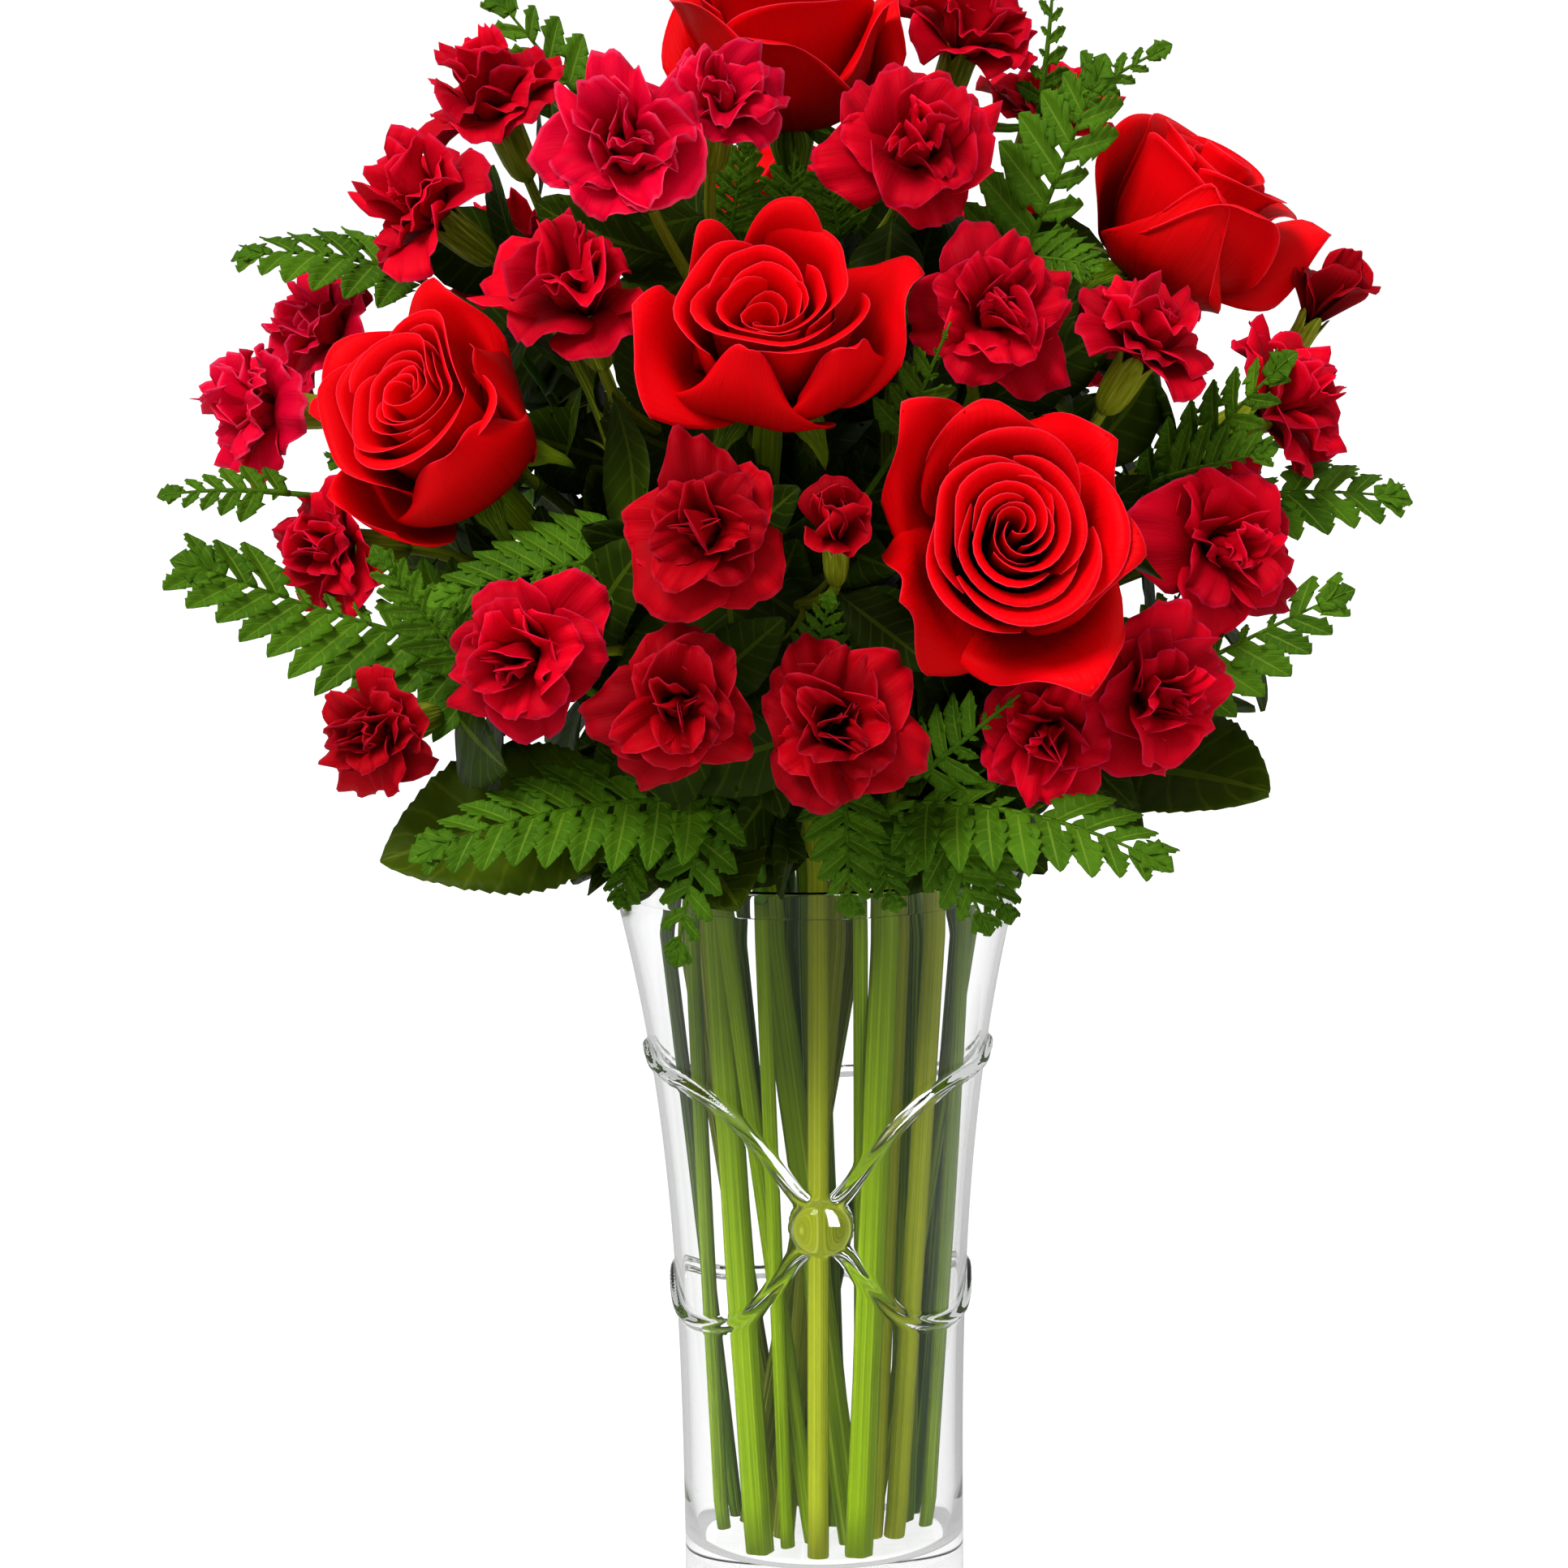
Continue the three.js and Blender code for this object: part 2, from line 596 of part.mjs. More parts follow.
function makeWater() {
  const side = WET_HEIGHTS.map((z) => [innerRadius(z) - CLEARANCE, z]);
  const bottom = VASE.floor + CLEARANCE;
  const corner = innerRadius(VASE.floor) - VASE.fillet - CLEARANCE;
  const body = latheOf([[0, bottom], [corner, bottom], ...side, [0, WATER_TOP]]);
  return holes.reduce((water, hole) => water.subtract(hole), body);
}

// Roses: a stem with its hip and five sepals, and the bloom that sits on the hip

const group = new THREE.Group();
group.name = "carnations_in_a_vase";
const solids = {}; // every solid made so far, by name

function keep(name, solid, material) {
  solids[name] = solid;
  group.add(meshOf(name, solid, material));
}

function makeRoseStem(name, bloom) {
  const { mouth, foot } = ROSE_STEMS[name];
  const start = footOf(foot, FOOT_LIFT.rose);
  const exit = new THREE.Vector3(...mouth, MOUTH);
  const hipTop = bloom.seat.clone().addScaledVector(bloom.axis, -CLEARANCE);
  const neck = bloom.seat.clone().addScaledVector(bloom.axis, -HIP.length);
  const line = [...stemLine(start, exit, neck, bloom.axis), hipTop];
  line.splice(-1, 0, bloom.seat.clone().addScaledVector(bloom.axis, -HIP.shoulder));
  const radii = line.map((_, i) => (i < line.length - 2 ? STEM.rose : HIP.radius));
  holeFor(start, exit, STEM.rose, 6, true);
  const [side, other] = across(bloom.axis);
  const sepals = Array.from({ length: SEPAL.count }, (_, i) => {
    const angle = (TURN * i) / SEPAL.count;
    const out = side.clone().multiplyScalar(Math.cos(angle)).addScaledVector(other, Math.sin(angle));
    const at = (reach, down) => hipTop.clone().addScaledVector(out, reach).addScaledVector(bloom.axis, -down);
    const { root, knee, tip, sink, drop } = SEPAL;
    return spike([at(root, sink), at(knee, sink), at(tip, drop)], SEPAL.radii);
  });
  return joined([tube(line, radii, 6), ...sepals]);
}

// Carnation sprays: one main stem and side shoots, each ending in a tube-shaped calyx

function calyxLine(line, bloom) {
  const foot = bloom.seat.clone().addScaledVector(bloom.axis, -CALYX.length);
  const rim = bloom.seat.clone().addScaledVector(bloom.axis, -CLEARANCE);
  const low = foot.clone().addScaledVector(bloom.axis, CALYX.knee);
  return [...line, low, rim];
}

function makeSpray(spec, bloomOf) {
  const [[firstName, firstIndex], ...shoots] = spec.flowers;
  const first = bloomOf(firstName, firstIndex);
  const start = footOf(spec.foot, FOOT_LIFT.spray);
  const exit = new THREE.Vector3(...spec.mouth, MOUTH);
  const footOfCalyx = (bloom) => bloom.seat.clone().addScaledVector(bloom.axis, -CALYX.length);
  const line = stemLine(start, exit, footOfCalyx(first), first.axis);
  const widths = (count, thick) =>
    Array.from({ length: count }, (_, i) => thick + (STEM.pedicel - thick) * Math.max(0, i / (count - 1)) ** 2);
  holeFor(start, exit, STEM.spray, 5, true);
  const parts = [
    tube(calyxLine(line, first), [...widths(line.length, STEM.spray), CALYX.foot, CALYX.radius], 5),
  ];
  const above = new THREE.CatmullRomCurve3(line.slice(1));
  for (const [name, index, share] of shoots) {
    const bloom = bloomOf(name, index);
    const from = above.getPointAt(share);
    const leaving = above.getTangentAt(share);
    const shoot = bend(from, leaving, footOfCalyx(bloom), bloom.axis, 3);
    const radii = [...widths(shoot.length, STEM.shoot), CALYX.foot, CALYX.radius];
    parts.push(tube(calyxLine(shoot, bloom), radii, 5));
  }
  return joined(parts);
}

// Ferns and broad leaves

function clearOfAll(solid, gap) {
  return Object.values(solids).every((other) => {
    const [a, b] = [solid.boundingBox(), other.boundingBox()];
    const apart = [0, 1, 2].some((i) => a.min[i] > b.max[i] + gap || b.min[i] > a.max[i] + gap);
    return apart || solid.minGap(other, gap + 0.1) >= gap;
  });
}

// A blade's middle line, with the direction across it and its facing at each station.
function bladeFrame(base, tip, face, arch, stations) {
  const facing = vec(face).normalize();
  const control = base.clone().add(tip).multiplyScalar(0.5).addScaledVector(facing, 2 * arch);
  const curve = new THREE.QuadraticBezierCurve3(base, control, tip);
  return stations.map((share) => {
    const along = curve.getTangent(share);
    const sideways = facing.clone().cross(along).normalize();
    return { at: curve.getPoint(share), along, sideways, facing: along.clone().cross(sideways) };
  });
}

const FEW_PINNAE = 5; // pairs of pinnae on a small frond
const MANY_PINNAE = 6;
const PINNA_SHARE = 0.42; // half a pinna's width over the room it has on the rib
const PINNA_SIZES = [1, 0.85, 0.7, 0.55, 0.4, 0.28]; // tried in turn until the pinna is clear
const LARGE_FROND = 32; // half width from which a frond is large
// One side of a pinna: share of its length, and share of its half width, on the way to its tip.
const PLAIN_EDGE = [[0.3, 0.95]];
const TOOTHED_EDGE = [[0.34, 1], [0.42, 0.62]];

// One frond's blade: a thin arched sheet cut to its rib between the toothed pinnae. A pinna that
// would meet another piece is made shorter until it is clear.
function frondBlade(spec) {
  const base = vec(spec.base);
  const tip = vec(spec.tip);
  const length = base.distanceTo(tip);
  const large = spec.wide >= LARGE_FROND;
  const pairs = large ? MANY_PINNAE : FEW_PINNAE;
  const edge = large ? TOOTHED_EDGE : PLAIN_EDGE;
  const frames = bladeFrame(base, tip, spec.face, spec.arch, spread(0, 1, pairs + 1));
  const points = [];
  const facings = [];
  const thick = [];
  const triangles = [];
  const put = (point, facing, t) => {
    points.push(point);
    facings.push(facing);
    thick.push(t);
    return points.length - 1;
  };
  const rib = frames.map(({ at, sideways, facing }, i) => {
    const half = i > pairs ? BLADE.tipHalf : BLADE.ribHalf;
    return [-half, half].map((w) => put(at.clone().addScaledVector(sideways, w), facing, BLADE.rib));
  });
  for (let i = 0; i <= pairs; i++) {
    triangles.push([rib[i][0], rib[i + 1][0], rib[i + 1][1]], [rib[i][0], rib[i + 1][1], rib[i][1]]);
  }
  for (let i = 0; i < pairs; i++) {
    const [low, high] = [frames[i], frames[i + 1]];
    const reach = spec.wide * (1 - 0.8 * (i / pairs) ** 1.2) * (i === 0 ? 0.92 : 1);
    const half = (PINNA_SHARE * length) / (pairs + 1);
    for (const hand of [0, 1]) {
      const sign = hand ? 1 : -1;
      const pinna = (size) => {
        const axis = low.along.clone().multiplyScalar(0.45).addScaledVector(low.sideways, sign).normalize();
        const root = low.at.clone().lerp(high.at, 0.5);
        const crosswise = low.along;
        const corner = (share, width) =>
          root
            .clone()
            .addScaledVector(axis, share * reach * size)
            .addScaledVector(crosswise, width * half)
            .addScaledVector(low.facing, -BLADE.droop * reach * size * share * share);
        const back = edge.map(([s, w]) => corner(s, -w));
        const front = edge.map(([s, w]) => corner(s, w)).reverse();
        return [...back, corner(1, 0), ...front];
      };
      const roots = [points[rib[i][hand]], points[rib[i + 1][hand]]];
      const tryout = (size) => {
        const outline = [roots[0], ...pinna(size), roots[1]];
        const facing = outline.map(() => low.facing);
        return sheet(outline, facing, outline.map(() => BLADE.thick), fanOf(outline.length, sign));
      };
      const size = PINNA_SIZES.find((s) => clearOfAll(tryout(s), BLADE.gap));
      if (!size) continue;
      const edgePoints = pinna(size).map((p) => put(p, low.facing, BLADE.thick));
      const outline = [rib[i][hand], ...edgePoints, rib[i + 1][hand]];
      for (const [a, b, c] of fanOf(outline.length, sign)) triangles.push([outline[a], outline[b], outline[c]]);
    }
  }
  return sheet(points, facings, thick, triangles);
}

// Triangles of a pinna outline numbered from its back root round its tip to its front root.
function fanOf(count, sign) {
  const triangles = [];
  for (let low = 0, high = count - 1; high - low > 1; ) {
    triangles.push([low, low + 1, high]);
    low++;
    if (high - low > 1) {
      triangles.push([low, high - 1, high]);
      high--;
    }
  }
  return sign > 0 ? triangles.map(([a, b, c]) => [a, c, b]) : triangles;
}

function makeFern(spec) {
  const start = shortFootOf(spec.mouth);
  const exit = new THREE.Vector3(...spec.mouth, MOUTH);
  const base = vec(spec.base);
  const blades = [spec, ...(spec.more ?? [])].map((blade) => frondBlade({ ...blade, base: spec.base }));
  const [first] = bladeFrame(base, vec(spec.tip), spec.face, spec.arch, [0]);
  const into = base.clone().addScaledVector(first.along, 4);
  const line = [...stemLine(start, exit, base, first.along, 4), into];
  holeFor(start, exit, STEM.fern, 4, false);
  const radii = line.map((_, i) => (i < line.length - 3 ? STEM.fern : STEM.stalk));
  return joined([tube(line, radii, 4), ...blades]);
}

const LEAF_STATIONS = [0, 0.12, 0.28, 0.46, 0.62, 0.8, 1];
const LEAF_STALK = 0.1; // share of a leaf's length that is its stalk

// A broad leaf on a short stalk: an oval with a drawn-out tip and toothed edges, its halves
// folded up a little along the midrib.
function leafBlade(base, spec) {
  const tip = vec(spec.tip);
  const frames = bladeFrame(base, tip, spec.face, LEAF.arch * base.distanceTo(tip), LEAF_STATIONS);
  const points = [];
  const facings = [];
  const thick = [];
  const rows = frames.map(({ at, sideways, facing }, i) => {
    const share = Math.max(0, (LEAF_STATIONS[i] - LEAF_STALK) / (1 - LEAF_STALK));
    const oval = Math.max(0, Math.sin(Math.PI * share ** 0.85)) ** 0.7 * (1 - 0.12 * share);
    const tooth = i % 2 ? LEAF.tooth : 1;
    const half = Math.max(LEAF.ribHalf, spec.wide * oval * tooth);
    return [-half, 0, half].map((w) => {
      points.push(at.clone().addScaledVector(sideways, w).addScaledVector(facing, LEAF.fold * Math.abs(w)));
      facings.push(facing);
      thick.push(w === 0 ? LEAF.rib : LEAF.thick);
      return points.length - 1;
    });
  });
  const triangles = [];
  for (let i = 0; i + 1 < rows.length; i++) {
    for (const k of [0, 1]) {
      const [a, b, c, d] = [rows[i][k], rows[i][k + 1], rows[i + 1][k + 1], rows[i + 1][k]];
      triangles.push([a, d, c], [a, c, b]);
    }
  }
  return sheet(points, facings, thick, triangles);
}

function makeLeafyStem(spec) {
  const start = shortFootOf(spec.mouth);
  const exit = new THREE.Vector3(...spec.mouth, MOUTH);
  const top = vec(spec.top);
  const line = stemLine(start, exit, top, top.clone().sub(exit).normalize(), 4);
  holeFor(start, exit, STEM.leafy, 5, false);
  const above = new THREE.CatmullRomCurve3(line.slice(1));
  const leaves = spec.leaves.map((leaf) => leafBlade(above.getPointAt(leaf.share), leaf));
  return joined([tube(line, line.map(() => STEM.leafy), 5), ...leaves]);
}

// Putting it together

const roses = {};
for (const [name, spec] of Object.entries(ROSES)) {
  roses[name] = placed(spec, ROSE_RADIUS * spec.size, "rose");
  blooms.push(roses[name]);
}
const carnations = {};
for (const [name, specs] of Object.entries(CARNATIONS)) {
  carnations[name] = specs.map((spec) => {
    const bloom = placed(spec, CARNATION_RADIUS * spec.size, "carnation");
    bloom.group = name;
    blooms.push(bloom);
    return bloom;
  });
}
for (const [name, spec] of Object.entries(BUDS)) {
  const bud = placed(spec, spec.radius, "carnation");
  carnations["bud_" + name] = [bud];
  blooms.push(bud);
}

const BUD_RINGS = [
  { out: 0.5, up: 0.15 },
  { out: 1, up: 0.9, cut: 0.1, wave: 0.05 },
  { out: 0.72, up: 1.1 },
  { out: 0.8, up: 1.7, cut: 0.2, wave: 0.1 },
];

keep("vase", makeVase(), GLASS);
for (const [name, bloom] of Object.entries(roses)) {
  keep("rose_stem_" + name, makeRoseStem(name, bloom), STEM_GREEN);
}
for (const [name, spec] of Object.entries(SPRAYS)) {
  keep("spray_" + name, makeSpray(spec, (flower, index) => carnations[flower][index]), CALYX_GREEN);
}
Object.entries(roses).forEach(([name, bloom], i) => {
  keep("rose_" + name, bloomSolid(bloom, ROSE_RINGS, 5, 3, 1.02, 11 + i), ROSE_PETAL);
});
Object.entries(carnations).forEach(([name, members], i) => {
  const isBud = name.startsWith("bud_");
  const made = members.map((bloom, j) =>
    isBud
      ? bloomSolid(bloom, BUD_RINGS, 4, 2, 1.5, 40 + i)
      : bloomSolid(bloom, CARNATION_RINGS, 4, 3, 0.72, 60 + 5 * i + j),
  );
  keep(isBud ? name : "carnation_" + name, joined(made), CARNATION_PETAL);
});
for (const [name, spec] of Object.entries(LEAFY_STEMS)) {
  keep("leafy_stem_" + name, makeLeafyStem(spec), LEAF_GREEN);
}
for (const [name, spec] of Object.entries(FERNS)) {
  keep("fern_" + name, makeFern(spec), FERN_GREEN);
}
keep("water", makeWater(), WATER);

export default group;
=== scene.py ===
# %% [markdown]
# Mini carnations and red roses in a clear glass vase.
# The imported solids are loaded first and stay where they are. Each one is then replaced, in its
# own place, by a finer surface worked out with numpy: petals, leaves and fern leaflets are grids
# of points given by a formula in two parameters, and stems are rings carried along a line.

# %% Load the frame
import math
import bpy
import bmesh
import numpy as np
from mathutils import Matrix


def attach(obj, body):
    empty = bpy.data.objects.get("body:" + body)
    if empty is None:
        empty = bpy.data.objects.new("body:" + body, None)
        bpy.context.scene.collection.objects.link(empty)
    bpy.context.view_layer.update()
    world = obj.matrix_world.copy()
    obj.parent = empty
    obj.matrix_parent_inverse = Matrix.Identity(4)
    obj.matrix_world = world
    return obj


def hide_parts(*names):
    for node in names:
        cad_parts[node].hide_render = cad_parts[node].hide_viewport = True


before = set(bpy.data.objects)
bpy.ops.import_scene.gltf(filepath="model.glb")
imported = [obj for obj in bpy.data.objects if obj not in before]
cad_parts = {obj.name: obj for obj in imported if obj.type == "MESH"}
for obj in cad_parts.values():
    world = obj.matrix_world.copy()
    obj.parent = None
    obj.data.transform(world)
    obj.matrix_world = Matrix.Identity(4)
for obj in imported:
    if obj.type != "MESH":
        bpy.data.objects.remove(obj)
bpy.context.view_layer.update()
MM = 0.001
TURN = 2 * math.pi
print("solids in the frame:", len(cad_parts))

# %% [markdown]
# A florist plans the bouquet before cutting: where each bloom sits, which way it looks and how
# large it is. The same plan drives the solids, so every fine bloom lands on its own solid.
# Places are in millimetres, with the vase's underside at zero and the front towards -Y.

# %% Where every bloom sits
ROSE_RADIUS = 40
CARNATION_RADIUS = 24
MIDDLE_UP = {"carnation": 0.45, "rose": 0.6}
ROSES = {
    "front": ([-11, -103, 386], [0.03, -0.7, 0.71], 1),
    "left": ([-104, -75, 359], [-0.42, -0.68, 0.6], 0.98),
    "low_right": ([53, -115, 328], [0.1, -0.95, 0.3], 1),
    "right": ([107, -15, 411], [0.55, -0.15, 0.82], 0.98),
    "top": ([-6, -15, 461], [-0.05, -0.2, 0.98], 1.03),
    "back": ([-15, 85, 395], [-0.1, 0.8, 0.6], 1),
}
CARNATIONS = {
    "top_left": [([-92, 5, 448], [-0.35, -0.35, 0.87], 0.98)],
    "upper_left": [([-111, -35, 419], [-0.7, -0.35, 0.62], 0.98)],
    "top_pink": [([-50, -97, 435], [-0.2, -0.8, 0.55], 1.15)],
    "top_pale": [([-24, -73, 447], [0.1, -0.7, 0.7], 0.85)],
    "over_left_rose": [([-63, -90, 400], [-0.15, -0.55, 0.8], 1.3)],
    "under_top_rose": [([29, -70, 433], [0.1, -0.85, 0.5], 1.1)],
    "top_right": [([48, 5, 466], [0.3, -0.3, 0.9], 0.95)],
    "middle_right": [([50, -90, 389], [0.15, -0.9, 0.4], 1.05)],
    "over_low_rose": [([95, -78, 381], [0.45, -0.45, 0.77], 0.95)],
    "behind_right": [([72, 38, 442], [0.3, -0.3, 0.9], 0.9)],
    "far_right": [([138, -30, 358], [0.85, -0.3, 0.4], 1)],
    "low_far_right": [([117, -60, 320], [0.45, -0.85, 0.25], 1.08)],
    "left_high": [([-143, 0, 381], [-0.75, -0.4, 0.5], 0.9)],
    "left_far": [([-160, -35, 360], [-0.85, -0.5, 0.1], 0.95)],
    "left_low": [([-138, -52, 322], [-0.7, -0.6, 0.1], 0.9)],
    "front_middle": [([-29, -130, 334], [-0.1, -0.95, 0.25], 1)],
    "front_left": [([-79, -115, 298], [-0.35, -0.93, 0.1], 1)],
    "low_left": [([-38, -128, 286], [-0.1, -0.98, 0.1], 0.92)],
    "low_middle": [([4, -120, 278], [0, -0.98, 0.15], 1.05)],
    "bottom_left": [([-123, -90, 273], [-0.6, -0.78, -0.1], 0.8)],
    "bottom_right": [([64, -94, 272], [0, -0.98, 0], 0.9), ([95, -96, 281], [0.45, -0.88, 0.05], 1)],
    "back_left": [([-90, 62, 398], [-0.6, 0.5, 0.6], 1), ([-103, 70, 371], [-0.7, 0.6, 0.3], 1)],
    "back_right": [([66, 86, 396], [0.5, 0.7, 0.6], 1), ([88, 76, 374], [0.6, 0.65, 0.4], 1)],
    "back_low": [([34, 118, 320], [0.2, 0.95, 0.1], 1.05), ([8, 122, 305], [0, 0.98, 0], 1)],
}
BUDS = {
    "front": ([6, -118, 331], [0, -0.75, 0.66], 11),
    "right": ([148, -5, 382], [0.5, -0.2, 0.85], 11),
}


def unit(vectors):
    """A vector, or each vector of an array, over its own length."""
    vectors = np.asarray(vectors, float)
    return vectors / np.maximum(np.linalg.norm(vectors, axis=-1, keepdims=True), 1e-12)


def across(axis):
    """Two directions square to an axis: straight up crossed with it, and the axis crossed with that."""
    guide = np.array([0, 0, 1.0]) if abs(axis[2]) < 0.9 else np.array([0, 1.0, 0])
    side = unit(np.cross(guide, axis))
    return side, np.cross(axis, side)


def placed(at, face, radius, kind, group):
    """A bloom's plan: its seat lies behind its middle, by a share of its radius along its axis."""
    axis = unit(face)
    side, other = across(axis)
    seat = np.array(at, float) - MIDDLE_UP[kind] * radius * axis
    return {"middle": np.array(at, float), "axis": axis, "side": side, "other": other,
            "radius": radius, "seat": seat, "group": group}


roses = {name: placed(at, face, ROSE_RADIUS * size, "rose", "rose_" + name)
         for name, (at, face, size) in ROSES.items()}
carnations = {name: [placed(at, face, CARNATION_RADIUS * size, "carnation", name)
                     for at, face, size in members] for name, members in CARNATIONS.items()}
buds = {name: placed(at, face, radius, "carnation", "bud_" + name)
        for name, (at, face, radius) in BUDS.items()}
blooms = [*roses.values(), *(b for members in carnations.values() for b in members), *buds.values()]
print("blooms planned:", len(blooms))

# %% [markdown]
# Every fine piece is one of three forms. A thin sheet is a grid of points given a front and a
# back a fraction of a millimetre apart, closed round its edge, so it has real thickness. A tube
# is a ring carried along a line. A lathe form is a profile turned round the vertical axis.
# Each vertex also keeps how far along and across its petal or leaf it lies, and a tone drawn
# once for that petal, because the finishes below are painted along the surface with them.

# %% Sheets
EDGE_SHARE = 0.4
THICK = {"sepal": 0.7, "joint_leaf": 0.5, "petal": 0.45,
         "broad_leaf": 0.45, "inner_leaf": 0.4, "leaflet": 0.35}


def smooth(x, low=0.0, high=1.0):
    """0 below low, 1 above high, and an even S curve between them."""
    t = np.clip((x - low) / (high - low), 0, 1)
    return t * t * (3 - 2 * t)


def sheets(grids, thickness, tones):
    """Closed thin shells from open grids shaped (n, rows, columns, 3).

    Front and back are the grid moved half a thickness along its normal, the cross product of
    its two slopes; the thickness falls to EDGE_SHARE of itself at the last row and column.
    """
    n, rows, cols, _ = grids.shape
    normal = unit(np.cross(np.gradient(grids, axis=2), np.gradient(grids, axis=1)))
    rim = np.ones((rows, cols))
    rim[-1, :] = rim[:, 0] = rim[:, -1] = EDGE_SHARE
    shift = normal * (0.5 * thickness * rim)[None, :, :, None]
    points = np.stack([grids + shift, grids - shift], axis=1).reshape(-1, 3)
    index = np.arange(n * 2 * rows * cols).reshape(n, 2, rows, cols)
    front, back = index[:, 0], index[:, 1]
    loop = np.r_[np.arange(cols - 1), cols * np.arange(rows - 1) + cols - 1,
                 (rows - 1) * cols + np.arange(cols - 1, 0, -1), cols * np.arange(rows - 1, 0, -1)]
    after = np.roll(loop, -1)
    f, b = front.reshape(n, -1), back.reshape(n, -1)

    def cells(layer):
        return layer[:, :-1, :-1], layer[:, :-1, 1:], layer[:, 1:, 1:], layer[:, 1:, :-1]

    faces = np.concatenate([
        np.stack(cells(front), -1).reshape(-1, 4),
        np.stack(cells(back)[::-1], -1).reshape(-1, 4),
        np.stack([f[:, after], f[:, loop], b[:, loop], b[:, after]], -1).reshape(-1, 4),
    ])
    along = np.broadcast_to(np.linspace(0, 1, rows)[:, None], (n, 2, rows, cols)).ravel()
    side = np.broadcast_to(np.linspace(-1, 1, cols), (n, 2, rows, cols)).ravel()
    tone = np.broadcast_to(np.reshape(tones, (-1, 1)), (n, 2 * rows * cols)).ravel()
    return points, faces, along, side, tone


# %% Tubes and ring skins
def tube(line, radii, sides, tone, bumps=0.0):
    """A closed tube: at each point a ring square to the line, of the radius given there.

    bumps are relative heights for the ring's points, as ribs on a stem. The ring's first
    direction is carried along without twisting. Both ends close on a point.
    """
    line = np.asarray(line, float)
    ahead = unit(np.gradient(line, axis=0))
    side = across(ahead[0])[0]
    first = []
    for direction in ahead:
        side = unit(side - direction * (side @ direction))
        first.append(side)
    first = np.array(first)
    second = np.cross(ahead, first)
    angle = TURN * np.arange(sides) / sides
    radii = np.broadcast_to(radii, (len(line),))
    ring = first[:, None] * np.cos(angle)[:, None] + second[:, None] * np.sin(angle)[:, None]
    rings = line[:, None] + ring * (radii[:, None] * (1 + bumps))[:, :, None]
    start, end = (np.repeat(line[[i]], sides, 0)[None] for i in (0, -1))
    return tagged_rings(np.concatenate([start, rings, end]), tone)


def tagged_rings(rings, tone):
    """A ring skin with along from its first ring to its last, across round each ring, and a tone."""
    points, faces = ring_skin(rings)
    count, sides, _ = rings.shape
    along = np.repeat(np.linspace(0, 1, count), sides)
    around = np.tile(np.linspace(-1, 1, sides), count)
    return points, faces, along, around, np.full(len(points), tone)


def ring_skin(rings):
    """Quads between rings of points shaped (k, m, 3), each ring counterclockwise from its far end."""
    k, m, _ = rings.shape
    index = np.arange(k * m).reshape(k, m)
    nxt = np.roll(index, -1, axis=1)
    faces = np.stack([index[:-1], nxt[:-1], nxt[1:], index[1:]], -1).reshape(-1, 4)
    return rings.reshape(-1, 3), faces


def ribs(count, height, sides):
    """Relative heights round a ring: so many even waves."""
    return height * np.cos(count * TURN * np.arange(sides) / sides)


def gathered(parts):
    """Several (points, faces, along, across, tone) parts as one, the face numbers moved up."""
    starts = np.cumsum([0] + [len(part[0]) for part in parts[:-1]])
    points, faces, *marks = zip(*parts)
    faces = [numbers + start for numbers, start in zip(faces, starts)]
    return [np.concatenate(column) for column in (points, faces, *marks)]


# %% Parts made into Blender pieces
MERGE_GAP = 1e-7
MARKS = ("along", "across", "tone")


def merged(mesh):
    """Points that lie together become one, which closes the poles of a ring skin."""
    work = bmesh.new()
    work.from_mesh(mesh)
    bmesh.ops.remove_doubles(work, verts=work.verts, dist=MERGE_GAP)
    bmesh.ops.dissolve_degenerate(work, edges=work.edges, dist=MERGE_GAP)
    work.to_mesh(mesh)
    work.free()


def piece(name, part, material, slot, *nodes, merge=False):
    """One Blender object from a part, riding on the body and standing for its solids."""
    points, faces, *marks = part
    mesh = bpy.data.meshes.new(name)
    mesh.vertices.add(len(points))
    mesh.vertices.foreach_set("co", (points * MM).astype(np.float32).ravel())
    mesh.loops.add(faces.size)
    mesh.loops.foreach_set("vertex_index", faces.astype(np.int32).ravel())
    mesh.polygons.add(len(faces))
    mesh.polygons.foreach_set("loop_start", np.arange(0, faces.size, 4, dtype=np.int32))
    for label, values in zip(MARKS, marks):
        mesh.attributes.new(label, "FLOAT", "POINT").data.foreach_set("value", values.astype(np.float32))
    mesh.update(calc_edges=True)
    if merge:
        merged(mesh)
    mesh.polygons.foreach_set("use_smooth", np.ones(len(mesh.polygons), bool))
    mesh.materials.append(material)
    made = bpy.data.objects.new(name, mesh)
    bpy.context.scene.collection.objects.link(made)
    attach(made, "root")
    if nodes:
        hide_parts(*nodes)
    return made


# %% [markdown]
# The finishes are painted by nodes. Petals are darkest in the heart, painted shade where the bloom is
# deep, and palest at the edge, a painted highlight on the rims, and carry fine veins that run out to
# the edge, so their colour follows the attribute called along.
# Leaves have a pale midrib and side veins, drawn from along and across. Stems are streaked along
# their length. Noise on object coordinates breaks up each colour a little, as growth does. A
# node's output is wrapped here so that it adds and multiplies as a number does: then a finish is
# written as the formula it is.

# %% Signals between nodes
class Signal:
    """One output of a node, which adds, subtracts and multiplies as a number does."""

    def __init__(self, socket):
        self.socket = socket

    def __add__(self, other):
        return maths("ADD", self, other)

    def __sub__(self, other):
        return maths("SUBTRACT", self, other)

    def __rsub__(self, other):
        return maths("SUBTRACT", other, self)

    def __mul__(self, other):
        return maths("MULTIPLY", self, other)

    def clamped(self):
        """The same output, kept between 0 and 1 by its own node."""
        self.socket.node.use_clamp = True
        return self


